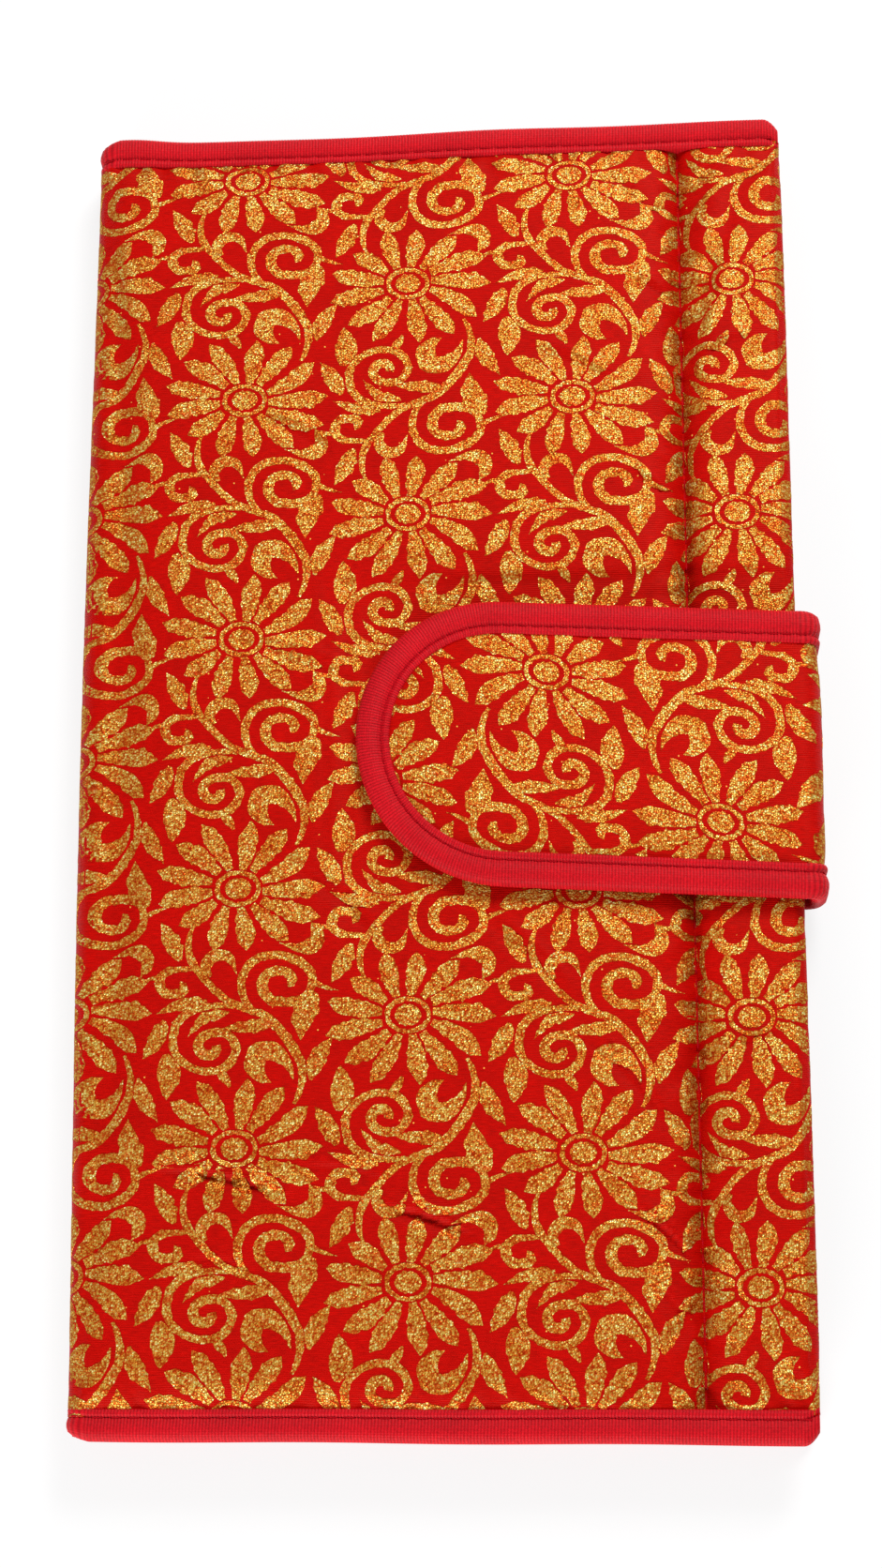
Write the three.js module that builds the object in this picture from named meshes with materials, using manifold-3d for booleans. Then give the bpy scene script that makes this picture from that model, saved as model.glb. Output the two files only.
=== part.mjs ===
// A folding jewellery organiser: two padded brocade covers joined by a soft spine, each with three
// zipped clear pockets inside, held shut by a bound tab that wraps round the open edge.
// Millimetres, +Z up. The closed case lies on its back cover, with its length along Y and its spine at -X.
// The origin is at the middle of the back cover's underside.
import * as THREE from "three";
import { mergeVertices } from "three/addons/utils/BufferGeometryUtils.js";
import Module from "manifold-3d";

const wasm = await Module();
wasm.setup();

// Case
const CASE_WIDTH = 150;
const CASE_LENGTH = 280;
const SEAT_GAP = 0.2; // between sewn layers
const FOLD_GAP = 0.3; // between pieces that turn past each other
const BROCADE = 0.7; // cloth thickness
const LINING = 0.6;
const FOAM = 2.0;
const TAPE = 0.8; // thickness of the edge tape
const COVER = FOAM + 2 * (TAPE + SEAT_GAP); // thickness of a finished cover
const BINDING_WIDTH = 6; // how far the edge tape reaches onto a cover
const HEM_WIDTH = 22; // turn-in along the open edge, held by one stitched seam
const ROUND_STEPS = 6; // facets in a quarter turn

// Zipped pockets
const POCKETS = ["upper", "middle", "lower"];
const POCKET_MARGIN = 3; // from the spine and from the case's edge tape
const ROOT_CLEAR = 2; // between the pockets and the root of the strap
const POCKET_TAPE_WIDTH = 5;
const POCKET_TAPE_LIP = 0.4; // tape over the film
const FILM = 0.4;
const FILM_TUCK = 2; // film held under the tape
const RAIL_HEIGHT = 1.0; // zip teeth
const RAIL_WIDTH = 1.6;
const ZIP_TAPE = 5.7; // cloth beside the teeth
const ZIP_DROP = 6; // from a pocket's top tape to the middle of its zip
const POST = 0.8; // web of the slider between the two rows of teeth
const POST_LENGTH = 4;
const SLIDER_LENGTH = 9;
const SLIDER_WIDTH = 7;
const SLIDER_UNDER = 0.45; // plate under the teeth
const SLIDER_OVER = 0.55; // plate over the teeth
const SLIDER_REST = 12; // from the window's right edge to the slider's middle, zip closed
const PULL_LENGTH = 15;
const PULL_WIDTH = 4;
const PULL = 0.45;
const FACING_GAP = 0.4; // between the pulls of the two covers when the case is shut

// Closing tab
const TAB_WIDTH = 60;
const TAB_REACH = 91.4; // from the open edge to the tip
const TAB_BINDING = 6.8;
const TAB_TAPE = 0.7;
const TAB_FOAM = 1.0;
const TAB = TAB_FOAM + 2 * (TAB_TAPE + SEAT_GAP); // thickness of the finished tab
const TAB_SLOPE = 0.058; // the tab is fastened a little askew
const TAB_CENTRE = -2.85; // where the tab crosses the open edge, along the length
const TAB_CLEAR = 1.6; // between the open edge and the wrapped strap
const ROOT_LENGTH = 14.3; // strap sewn inside the back cover
const PATCH = 0.5; // hook tape and loop tape
const PATCH_LENGTH = 24;
const PATCH_WIDTH = 34;
const PATCH_INSET = 12; // from the tip of the tab

// Heights of the layers in a pocket, from the lining up
const UNDER_BASE = 2 * SEAT_GAP;
const RAIL_BASE = UNDER_BASE + SLIDER_UNDER + SEAT_GAP;
const FILM_BASE = RAIL_BASE + (RAIL_HEIGHT - FILM) / 2;
const OVER_BASE = RAIL_BASE + RAIL_HEIGHT + SEAT_GAP;
const PULL_BASE = OVER_BASE + SLIDER_OVER + SEAT_GAP;
const POCKET_HEIGHT = PULL_BASE + PULL;

// The folds of the case and of the tab
const CASE_HEIGHT = 2 * (COVER + POCKET_HEIGHT) + FACING_GAP;
const FOLD_RADIUS = COVER / 2;
const FOLD_X = -CASE_WIDTH / 2 + FOLD_RADIUS;
const COVER_LEFT = FOLD_X + FOLD_RADIUS + FOLD_GAP;
const COVER_RIGHT = CASE_WIDTH / 2;
const PANEL_LENGTH = CASE_LENGTH - 2 * (BINDING_WIDTH + SEAT_GAP);
const CORE_LENGTH = CASE_LENGTH - 2 * (TAPE + SEAT_GAP);
const TAB_X = COVER_RIGHT + TAB_CLEAR + TAB / 2;
const TAB_END = TAB_X - TAB / 2 - FOLD_GAP;
const TAB_BASE = CASE_HEIGHT + 2 * PATCH + 3 * SEAT_GAP;
const ROOT_BASE = COVER + SEAT_GAP;

const material = (color, roughness, metalness = 0) =>
  new THREE.MeshStandardMaterial({ color, roughness, metalness });
const BROCADE_CLOTH = material(0xb4651c, 0.5);
const RED_TAPE = material(0xb8101f, 0.7);
const RED_LINING = material(0x8f0d18, 0.6);
const WHITE_FOAM = material(0xe6dfd0, 0.95);
const CLEAR_FILM = material(0xdfe6ea, 0.15);
const ZIP_CLOTH = material(0xa50f1c, 0.75);
const GOLD_METAL = material(0xc79a3c, 0.3, 0.9);
const HOOK_AND_LOOP = material(0x9c0f1c, 0.95);

// Turns a three.js geometry into a solid that can be cut and joined.
function solidOf(geometry) {
  const bare = geometry.clone();
  bare.deleteAttribute("normal");
  bare.deleteAttribute("uv");
  const merged = mergeVertices(bare, 1e-4);
  return new wasm.Manifold(
    new wasm.Mesh({
      numProp: 3,
      vertProperties: merged.attributes.position.array,
      triVerts: new Uint32Array(merged.index.array),
    }),
  );
}

function geometryOf(solid) {
  const { vertProperties, triVerts } = solid.getMesh();
  const geometry = new THREE.BufferGeometry();
  geometry.setAttribute("position", new THREE.BufferAttribute(new Float32Array(vertProperties), 3));
  geometry.setIndex(new THREE.BufferAttribute(new Uint32Array(triVerts), 1));
  return geometry;
}

// A box given by its lowest and highest corner.
function boxBetween(low, high) {
  const size = high.map((value, axis) => value - low[axis]);
  const middle = high.map((value, axis) => (value + low[axis]) / 2);
  return new THREE.BoxGeometry(...size).translate(...middle);
}

// A shape drawn in X and Z, drawn out along Y between two ends.
function alongY(shape, from, to) {
  const geometry = new THREE.ExtrudeGeometry(shape, {
    depth: to - from,
    bevelEnabled: false,
    curveSegments: 2 * ROUND_STEPS,
  });
  return geometry.rotateX(Math.PI / 2).translate(0, to, 0);
}

// A shape drawn in Y and Z, drawn out along X between two ends.
function alongX(shape, from, to) {
  const geometry = new THREE.ExtrudeGeometry(shape, {
    depth: to - from,
    bevelEnabled: false,
    curveSegments: 2 * ROUND_STEPS,
  });
  const turn = new THREE.Matrix4().makeBasis(
    new THREE.Vector3(0, 1, 0),
    new THREE.Vector3(0, 0, 1),
    new THREE.Vector3(1, 0, 0),
  );
  return geometry.applyMatrix4(turn).translate(from, 0, 0);
}

// A round-ended upright section in X and Z, as a strip has that folds at both ends.
function uprightStrip(x, low, high, radius) {
  const shape = new THREE.Shape();
  shape.absarc(x, high, radius, 0, Math.PI);
  shape.absarc(x, low, radius, Math.PI, 2 * Math.PI);
  shape.closePath();
  return shape;
}

function addPiece(group, name, geometry, finish) {
  const mesh = new THREE.Mesh(geometry, finish);
  mesh.name = name;
  group.add(mesh);
  return mesh;
}

// A cover lies with its outer face at Z = 0. The brocade turns over the open edge and back to the seam.
function brocadeSection() {
  const middle = COVER / 2;
  const edge = COVER_RIGHT - middle;
  const hemEnd = COVER_RIGHT - HEM_WIDTH;
  const shape = new THREE.Shape();
  shape.moveTo(COVER_LEFT, 0);
  shape.lineTo(edge, 0);
  shape.absarc(edge, middle, middle, -Math.PI / 2, Math.PI / 2);
  shape.lineTo(hemEnd, COVER);
  shape.lineTo(hemEnd, COVER - BROCADE);
  shape.absarc(edge, middle, middle - BROCADE, Math.PI / 2, -Math.PI / 2, true);
  shape.lineTo(COVER_LEFT, BROCADE);
  shape.closePath();
  return shape;
}

function foamSection() {
  const middle = COVER / 2;
  const radius = FOAM / 2;
  const edge = COVER_RIGHT - middle;
  const shape = new THREE.Shape();
  shape.moveTo(COVER_LEFT, middle - radius);
  shape.lineTo(edge, middle - radius);
  shape.absarc(edge, middle, radius, -Math.PI / 2, Math.PI / 2);
  shape.lineTo(COVER_LEFT, middle + radius);
  shape.closePath();
  return shape;
}

// The edge tape's section in Y and Z: a channel folded over the edge at +Y.
function bindingSection() {
  const outer = CASE_LENGTH / 2;
  const inner = outer - BINDING_WIDTH;
  const corner = TAPE;
  const shape = new THREE.Shape();
  shape.moveTo(inner, 0);
  shape.absarc(outer - corner, corner, corner, -Math.PI / 2, 0);
  shape.absarc(outer - corner, COVER - corner, corner, 0, Math.PI / 2);
  shape.lineTo(inner, COVER);
  shape.lineTo(inner, COVER - TAPE);
  shape.lineTo(outer - TAPE, COVER - TAPE);
  shape.lineTo(outer - TAPE, TAPE);
  shape.lineTo(inner, TAPE);
  shape.closePath();
  return shape;
}

// Turns a piece made for the +Y end of a cover half a turn about X, to the -Y end.
function atOtherEnd(geometry) {
  const turned = geometry.clone().rotateX(Math.PI);
  return turned.translate(0, 0, COVER);
}

// A tape frame sewn to the lining round three pocket windows, with a slot for the edges of the film.
const POCKET_LEFT = COVER_LEFT + POCKET_MARGIN;
const POCKET_WIDTH = TAB_END - ROOT_LENGTH - ROOT_CLEAR - POCKET_LEFT;
const POCKET_RIGHT = POCKET_LEFT + POCKET_WIDTH;
const POCKET_TOP = CASE_LENGTH / 2 - BINDING_WIDTH - POCKET_MARGIN;
const WINDOW_LEFT = POCKET_LEFT + POCKET_TAPE_WIDTH;
const WINDOW_RIGHT = POCKET_RIGHT - POCKET_TAPE_WIDTH;
const WINDOW_PITCH = (2 * POCKET_TOP - POCKET_TAPE_WIDTH) / POCKETS.length;
const WINDOW_HEIGHT = WINDOW_PITCH - POCKET_TAPE_WIDTH;
const FRAME_TOP = FILM_BASE + FILM + SEAT_GAP + POCKET_TAPE_LIP;

const windowTop = (row) => POCKET_TOP - POCKET_TAPE_WIDTH - row * WINDOW_PITCH;

function pocketTape() {
  let frame = solidOf(
    boxBetween([POCKET_LEFT, -POCKET_TOP, SEAT_GAP], [POCKET_RIGHT, POCKET_TOP, FRAME_TOP]),
  );
  POCKETS.forEach((_, row) => {
    const top = windowTop(row);
    const bottom = top - WINDOW_HEIGHT;
    const reach = FILM_TUCK + SEAT_GAP;
    const hole = boxBetween([WINDOW_LEFT, bottom, 0], [WINDOW_RIGHT, top, FRAME_TOP + SEAT_GAP]);
    const slot = boxBetween(
      [WINDOW_LEFT - reach, bottom - reach, FILM_BASE - SEAT_GAP],
      [WINDOW_RIGHT + reach, top + reach, FILM_BASE + FILM + SEAT_GAP],
    );
    frame = frame.subtract(solidOf(hole)).subtract(solidOf(slot));
  });
  return geometryOf(frame);
}

// One half of a zip: a row of teeth with its cloth, drawn in Y and Z. The teeth lie at +Y of the middle line.
function zipHalfSection(clothEnd) {
  const teeth = POST / 2 + FOLD_GAP;
  const shape = new THREE.Shape();
  shape.moveTo(teeth, RAIL_BASE);
  shape.lineTo(teeth + RAIL_WIDTH, RAIL_BASE);
  shape.lineTo(teeth + RAIL_WIDTH, FILM_BASE);
  shape.lineTo(clothEnd, FILM_BASE);
  shape.lineTo(clothEnd, FILM_BASE + FILM);
  shape.lineTo(teeth + RAIL_WIDTH, FILM_BASE + FILM);
  shape.lineTo(teeth + RAIL_WIDTH, RAIL_BASE + RAIL_HEIGHT);
  shape.lineTo(teeth, RAIL_BASE + RAIL_HEIGHT);
  shape.closePath();
  return shape;
}

// Two plates joined by a web that runs between the rows of teeth.
function sliderBody() {
  const plate = (base, thickness) =>
    solidOf(
      boxBetween(
        [-SLIDER_LENGTH / 2, -SLIDER_WIDTH / 2, base],
        [SLIDER_LENGTH / 2, SLIDER_WIDTH / 2, base + thickness],
      ),
    );
  const web = boxBetween(
    [-POST_LENGTH / 2, -POST / 2, UNDER_BASE],
    [POST_LENGTH / 2, POST / 2, OVER_BASE + SLIDER_OVER],
  );
  const under = plate(UNDER_BASE, SLIDER_UNDER);
  const over = plate(OVER_BASE, SLIDER_OVER);
  return geometryOf(under.add(over).add(solidOf(web)));
}

function pullTag() {
  const shape = new THREE.Shape();
  const half = PULL_WIDTH / 2;
  shape.moveTo(0, -half);
  shape.absarc(PULL_LENGTH - half, 0, half, -Math.PI / 2, Math.PI / 2);
  shape.lineTo(0, half);
  shape.closePath();
  const geometry = new THREE.ExtrudeGeometry(shape, {
    depth: PULL,
    bevelEnabled: false,
    curveSegments: 2 * ROUND_STEPS,
  });
  return geometry.translate(0, 0, PULL_BASE);
}

// The pockets of one cover, on its lining. `up` is +1 where the group's +Y is the case's top, else -1.
function pocketsOf(side, up) {
  const group = new THREE.Group();
  group.position.z = COVER;
  addPiece(group, `${side}_pocket_tape`, pocketTape(), RED_TAPE);
  POCKETS.forEach((pocket, row) => {
    const zipMiddle = windowTop(row) - ZIP_DROP;
    const bottom = windowTop(row) - WINDOW_HEIGHT;
    const teethEdge = POST / 2 + FOLD_GAP + RAIL_WIDTH;
    const innerEnd = teethEdge + ZIP_TAPE;
    const panel = new THREE.Group();
    panel.rotation.z = up > 0 ? 0 : Math.PI;
    panel.position.x = up > 0 ? 0 : POCKET_LEFT + POCKET_RIGHT;
    group.add(panel);
    const name = `${side}_${pocket}`;
    const filmLow = [WINDOW_LEFT - FILM_TUCK, bottom - FILM_TUCK, FILM_BASE];
    const filmHigh = [WINDOW_RIGHT + FILM_TUCK, zipMiddle - innerEnd - SEAT_GAP, FILM_BASE + FILM];
    addPiece(panel, `${name}_pocket`, boxBetween(filmLow, filmHigh), CLEAR_FILM);
    const zipEnds = [WINDOW_LEFT + FOLD_GAP, WINDOW_RIGHT - FOLD_GAP];
    const topHalf = alongX(zipHalfSection(ZIP_DROP + FILM_TUCK), ...zipEnds);
    addPiece(panel, `${name}_zip_top`, topHalf, ZIP_CLOTH).position.y = zipMiddle;
    const lowHalf = alongX(zipHalfSection(innerEnd), ...zipEnds).rotateX(Math.PI);
    lowHalf.translate(0, 0, 2 * RAIL_BASE + RAIL_HEIGHT);
    addPiece(panel, `${name}_zip_bottom`, lowHalf, ZIP_CLOTH).position.y = zipMiddle;
    // The slider and its pull stay at the free end of the zip, whichever way the panel is turned.
    const rest = up > 0 ? WINDOW_RIGHT - SLIDER_REST : WINDOW_LEFT + SLIDER_REST;
    const runner = new THREE.Group();
    runner.position.set(rest, zipMiddle, 0);
    runner.rotation.z = up > 0 ? 0 : Math.PI;
    panel.add(runner);
    addPiece(runner, `${name}_slider`, sliderBody(), GOLD_METAL);
    addPiece(runner, `${name}_pull`, pullTag(), GOLD_METAL);
  });
  return group;
}

function coverOf(side, up) {
  const group = new THREE.Group();
  const half = PANEL_LENGTH / 2;
  const seam = COVER_RIGHT - HEM_WIDTH - SEAT_GAP;
  addPiece(group, `${side}_brocade`, alongY(brocadeSection(), -half, half), BROCADE_CLOTH);
  addPiece(group, `${side}_foam`, alongY(foamSection(), -CORE_LENGTH / 2, CORE_LENGTH / 2), WHITE_FOAM);
  const lining = boxBetween([COVER_LEFT, -half, COVER - LINING], [seam, half, COVER]);
  addPiece(group, `${side}_lining`, lining, RED_LINING);
  const tape = alongX(bindingSection(), COVER_LEFT, COVER_RIGHT);
  addPiece(group, `${side}_${up > 0 ? "top" : "bottom"}_binding`, tape, RED_TAPE);
  addPiece(group, `${side}_${up > 0 ? "bottom" : "top"}_binding`, atOtherEnd(tape), RED_TAPE);
  group.add(pocketsOf(side, up));
  return group;
}

// The spine folds about two lines along Y, one at each cover's middle layer.
function spine() {
  const group = new THREE.Group();
  const low = FOLD_RADIUS;
  const high = CASE_HEIGHT - FOLD_RADIUS;
  const half = PANEL_LENGTH / 2;
  const shell = uprightStrip(FOLD_X, low, high, FOLD_RADIUS);
  shell.holes.push(uprightStrip(FOLD_X, low, high, FOLD_RADIUS - BROCADE));
  addPiece(group, "spine_brocade", alongY(shell, -half, half), BROCADE_CLOTH);
  const core = uprightStrip(FOLD_X, low, high, FOAM / 2);
  addPiece(group, "spine_foam", alongY(core, -CORE_LENGTH / 2, CORE_LENGTH / 2), WHITE_FOAM);
  const outer = uprightStrip(FOLD_X, low, high, FOLD_RADIUS);
  const pocket = uprightStrip(FOLD_X, low, high, FOLD_RADIUS - TAPE);
  const end = CASE_LENGTH / 2;
  const block = solidOf(alongY(outer, end - BINDING_WIDTH, end));
  const cut = solidOf(alongY(pocket, end - BINDING_WIDTH - TAPE, end - TAPE));
  const cap = geometryOf(block.subtract(cut));
  addPiece(group, "spine_top_binding", cap, RED_TAPE);
  const lowCap = addPiece(group, "spine_bottom_binding", cap.clone(), RED_TAPE);
  lowCap.rotation.x = Math.PI;
  lowCap.position.z = CASE_HEIGHT;
  return group;
}

// The tab's outline in X and Y from its hinged end to its round tip, drawn in by `inset`.
function tabOutline(inset, end) {
  const half = TAB_WIDTH / 2;
  const roundCentre = COVER_RIGHT - TAB_REACH + half;
  const radius = half - inset;
  const shape = new THREE.Shape();
  shape.moveTo(end, radius);
  shape.lineTo(roundCentre, radius);
  shape.absarc(roundCentre, 0, radius, Math.PI / 2, 1.5 * Math.PI);
  shape.lineTo(end, -radius);
  shape.closePath();
  return shape;
}

// A layer of the tab between two heights, leaning as the tab does.
function tabLayer(inset, base, top, end = TAB_END) {
  const geometry = new THREE.ExtrudeGeometry(tabOutline(inset, end), {
    depth: top - base,
    bevelEnabled: false,
    curveSegments: 4 * ROUND_STEPS,
  });
  const lean = new THREE.Matrix4().makeShear(-TAB_SLOPE, 0, 0, 0, 0, 0);
  return geometry.applyMatrix4(lean).translate(0, TAB_CENTRE + TAB_SLOPE * COVER_RIGHT, base);
}

// A strip of hook tape or loop tape that leans with the tab, near its tip.
function fasteningPatch(base) {
  const tip = COVER_RIGHT - TAB_REACH;
  const low = [tip + PATCH_INSET, -PATCH_WIDTH / 2, base];
  const high = [tip + PATCH_INSET + PATCH_LENGTH, PATCH_WIDTH / 2, base + PATCH];
  const lean = new THREE.Matrix4().makeShear(-TAB_SLOPE, 0, 0, 0, 0, 0);
  const geometry = boxBetween(low, high).applyMatrix4(lean);
  return geometry.translate(0, TAB_CENTRE + TAB_SLOPE * COVER_RIGHT, 0);
}

function tab() {
  const group = new THREE.Group();
  const top = TAB_BASE + TAB;
  const core = TAB_TAPE + SEAT_GAP;
  const past = TAB_END + SEAT_GAP; // cuts run past the open end
  const band = solidOf(tabLayer(0, TAB_BASE, top));
  const window = solidOf(tabLayer(TAB_BINDING, TAB_BASE - SEAT_GAP, top + SEAT_GAP, past));
  const slot = solidOf(tabLayer(TAB_TAPE, TAB_BASE + TAB_TAPE, top - TAB_TAPE, past));
  addPiece(group, "tab_binding", geometryOf(band.subtract(window).subtract(slot)), RED_TAPE);
  const inner = TAB_BINDING + SEAT_GAP;
  addPiece(group, "tab_brocade", tabLayer(inner, top - BROCADE, top), BROCADE_CLOTH);
  addPiece(group, "tab_foam", tabLayer(core, TAB_BASE + core, top - core), WHITE_FOAM);
  addPiece(group, "tab_lining", tabLayer(inner, TAB_BASE, TAB_BASE + LINING), RED_LINING);
  addPiece(group, "hook_patch", fasteningPatch(TAB_BASE - SEAT_GAP - PATCH), HOOK_AND_LOOP);
  return group;
}

// The part of the strap that stands beside the open edge, between its two folds.
function tabWrap() {
  const group = new THREE.Group();
  group.position.y = TAB_CENTRE;
  const section = uprightStrip(TAB_X, ROOT_BASE + TAB / 2, TAB_BASE + TAB / 2, TAB / 2);
  const half = TAB_WIDTH / 2;
  const inner = half - TAB_BINDING;
  addPiece(group, "tab_wrap", alongY(section, SEAT_GAP - inner, inner - SEAT_GAP), BROCADE_CLOTH);
  addPiece(group, "tab_wrap_top_binding", alongY(section, inner, half), RED_TAPE);
  addPiece(group, "tab_wrap_bottom_binding", alongY(section, -half, -inner), RED_TAPE);
  return group;
}

function tabRoot() {
  const half = TAB_WIDTH / 2;
  const low = [TAB_END - ROOT_LENGTH, TAB_CENTRE - half, ROOT_BASE];
  return boxBetween(low, [TAB_END, TAB_CENTRE + half, ROOT_BASE + TAB]);
}

const organiser = new THREE.Group();
const backCover = coverOf("back", 1);
addPiece(backCover, "tab_root", tabRoot(), BROCADE_CLOTH);
const frontCover = coverOf("front", -1);
frontCover.rotation.x = Math.PI;
frontCover.position.z = CASE_HEIGHT;
const closingTab = tab();
organiser.add(backCover, spine(), frontCover, tabWrap(), closingTab);
addPiece(organiser, "loop_patch", fasteningPatch(CASE_HEIGHT + SEAT_GAP), HOOK_AND_LOOP);

export default organiser;
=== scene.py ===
"""Dresses the folding jewellery organiser: padded brocade, woven gold flowers, ribbed tape, zips and clear pockets."""

import functools
import math

import bmesh
import bpy
import numpy as np
from mathutils import Matrix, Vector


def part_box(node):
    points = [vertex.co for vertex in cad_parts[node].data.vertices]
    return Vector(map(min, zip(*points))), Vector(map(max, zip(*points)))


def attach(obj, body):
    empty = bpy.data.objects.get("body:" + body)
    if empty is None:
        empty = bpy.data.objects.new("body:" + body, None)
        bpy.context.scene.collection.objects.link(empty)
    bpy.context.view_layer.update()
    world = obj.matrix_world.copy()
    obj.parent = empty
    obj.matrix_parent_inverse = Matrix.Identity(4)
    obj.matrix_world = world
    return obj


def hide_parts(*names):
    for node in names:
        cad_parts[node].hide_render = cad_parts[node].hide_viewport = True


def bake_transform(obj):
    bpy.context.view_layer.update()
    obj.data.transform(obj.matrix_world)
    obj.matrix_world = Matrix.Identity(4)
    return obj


bl_info = {
    "name": "Folding jewellery organiser",
    "version": (1, 0, 0),
    "blender": (4, 5, 0),
    "location": "3D View > Sidebar > Organiser",
    "description": "Sews the cloth, tape, zips and pockets of a folding jewellery organiser over its frame",
    "category": "Object",
}

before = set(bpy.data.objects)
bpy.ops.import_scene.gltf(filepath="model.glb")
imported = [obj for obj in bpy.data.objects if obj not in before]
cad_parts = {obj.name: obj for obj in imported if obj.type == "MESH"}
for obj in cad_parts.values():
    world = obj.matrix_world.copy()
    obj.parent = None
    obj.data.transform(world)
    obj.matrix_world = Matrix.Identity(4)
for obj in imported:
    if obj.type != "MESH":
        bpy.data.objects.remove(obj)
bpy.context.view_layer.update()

MM = 0.001


def node_box(name):
    """Lowest and highest corner of a solid at rest, in millimetres."""
    low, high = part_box(name)
    return np.array(low) / MM, np.array(high) / MM


# Places that come from the frame, in millimetres.
FRONT_LOW, FRONT_HIGH = node_box("front_brocade")
SPINE_LOW, SPINE_HIGH = node_box("spine_brocade")
TOP_TAPE_LOW, TOP_TAPE_HIGH = node_box("front_top_binding")
TAB_LOW, TAB_HIGH = node_box("tab_binding")
WRAP_LOW, WRAP_HIGH = node_box("tab_wrap")
ROOT_LOW, ROOT_HIGH = node_box("tab_root")
HEM_END = node_box("front_lining")[1][0]
CASE_HEIGHT = FRONT_HIGH[2]
COVER = FRONT_HIGH[2] - FRONT_LOW[2]
OPEN_EDGE = FRONT_HIGH[0]
SPINE_FACE = SPINE_LOW[0]
CASE_END = TOP_TAPE_HIGH[1]
TAPE_INNER = TOP_TAPE_LOW[1]

# The tab: how wide and thick it is, and how it leans across the front.
TAB_HALF = (ROOT_HIGH[1] - ROOT_LOW[1]) / 2
TAB_CENTRE = (ROOT_HIGH[1] + ROOT_LOW[1]) / 2
TAB_THICK = TAB_HIGH[2] - TAB_LOW[2]
TAB_MIDDLE = (TAB_HIGH[2] + TAB_LOW[2]) / 2
TAB_TIP = TAB_LOW[0]
TAB_SLOPE = 0.058
ROOT_MIDDLE = (ROOT_HIGH[2] + ROOT_LOW[2]) / 2
WRAP_MIDDLE = (WRAP_HIGH[0] + WRAP_LOW[0]) / 2
STRAP_BEND = 2.5  # radius of the strap's two bends
TAB_INSET = 5.6  # from the tab's edge to the rim of its cloth under the tape
TAB_GOLD_INSET = 6.0  # from the tab's edge to the first of its gold
TAB_UNDER = 0.5  # by which the lining bulges less than the brocade
TAB_TAPE = 6.8  # width of the tape round the tab

# The strap from the tab's tip: flat over the front, a bend, down beside the open edge, a bend and back to the root.
STRAP_FLAT = OPEN_EDGE + 0.5 - TAB_TIP
STRAP_TURN = STRAP_BEND * math.pi / 2
STRAP_FALL = (TAB_MIDDLE - STRAP_BEND) - (ROOT_MIDDLE + STRAP_BEND)
STRAP_HALFWAY = STRAP_FLAT + STRAP_TURN + STRAP_FALL / 2
STRAP_END = STRAP_FLAT + 2 * STRAP_TURN + STRAP_FALL + (WRAP_MIDDLE - STRAP_BEND - ROOT_LOW[0])

# Cloth, tape and thread.
SOFT_CORNER = 4.0  # radius of the fold between a cover and the spine
SHEET = 0.5  # thickness of one layer of cloth
CLOTH_END = CASE_END - 5  # where the cover's cloth ends inside the tape
END_TAPE = CASE_END - TAPE_INNER + 0.3  # width of the tape over an end of the case
GROOVE = 1.7  # from the inner edge of a tape to its row of stitches
SEAM_GAP = 0.3  # ground left bare on each side of the hem seam
THREAD = 0.2  # radius of the sewing thread

SIDES = ("front", "back")
ROWS = ("upper", "middle", "lower")
COVER_NETS = {}


class OrganiserSizes(bpy.types.PropertyGroup):
    """Sizes that a maker of the case would change."""

    swell: bpy.props.FloatProperty(
        name="Swell", description="How far the padding lifts the cloth", default=1.5 * MM, unit="LENGTH"
    )
    tab_swell: bpy.props.FloatProperty(
        name="Tab swell", description="How far the tab's padding lifts its cloth", default=0.7 * MM, unit="LENGTH"
    )
    slack: bpy.props.FloatProperty(
        name="Slack", description="Share by which the cloth is cut larger than the padding", default=0.012
    )
    seam_dip: bpy.props.FloatProperty(
        name="Seam dip", description="How deep the stitched seam pulls in", default=1.1 * MM, unit="LENGTH"
    )
    relief: bpy.props.FloatProperty(
        name="Gold relief", description="How far the woven gold stands up", default=0.07 * MM, unit="LENGTH"
    )
    column: bpy.props.FloatProperty(
        name="Pattern column", description="Distance between columns of flowers", default=35.2 * MM, unit="LENGTH"
    )
    repeat: bpy.props.FloatProperty(
        name="Pattern repeat", description="Distance between flowers in a column", default=53.4 * MM, unit="LENGTH"
    )
    rib: bpy.props.FloatProperty(
        name="Tape rib", description="Distance between ribs of the tape", default=0.66 * MM, unit="LENGTH"
    )
    stitch: bpy.props.FloatProperty(
        name="Stitch", description="Distance between stitches", default=3.6 * MM, unit="LENGTH"
    )


class OrganiserColours(bpy.types.PropertyGroup):
    """Colours of the cloths, tape and metal."""

    ground: bpy.props.FloatVectorProperty(
        name="Ground", description="Satin ground of the brocade", subtype="COLOR", size=3, default=(0.5, 0.002, 0.001)
    )
    gold: bpy.props.FloatVectorProperty(
        name="Gold", description="Woven gold thread", subtype="COLOR", size=3, default=(0.45, 0.25, 0.036)
    )
    tape: bpy.props.FloatVectorProperty(
        name="Tape", description="Ribbed edge tape", subtype="COLOR", size=3, default=(0.63, 0.0052, 0.013)
    )
    lining: bpy.props.FloatVectorProperty(
        name="Lining", description="Satin lining", subtype="COLOR", size=3, default=(0.42, 0.006, 0.014)
    )
    thread: bpy.props.FloatVectorProperty(
        name="Thread", description="Sewing thread", subtype="COLOR", size=3, default=(0.36, 0.003, 0.008)
    )
    metal: bpy.props.FloatVectorProperty(
        name="Metal", description="Zip sliders and pulls", subtype="COLOR", size=3, default=(0.75, 0.52, 0.2)
    )
    floor: bpy.props.FloatVectorProperty(
        name="Floor", description="Floor under the case", subtype="COLOR", size=3, default=(0.9, 0.9, 0.9)
    )


def sizes():
    """The sizes that are set in the scene."""
    return bpy.context.scene.organiser_sizes


def colours():
    """The colours that are set in the scene."""
    return bpy.context.scene.organiser_colours


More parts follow.
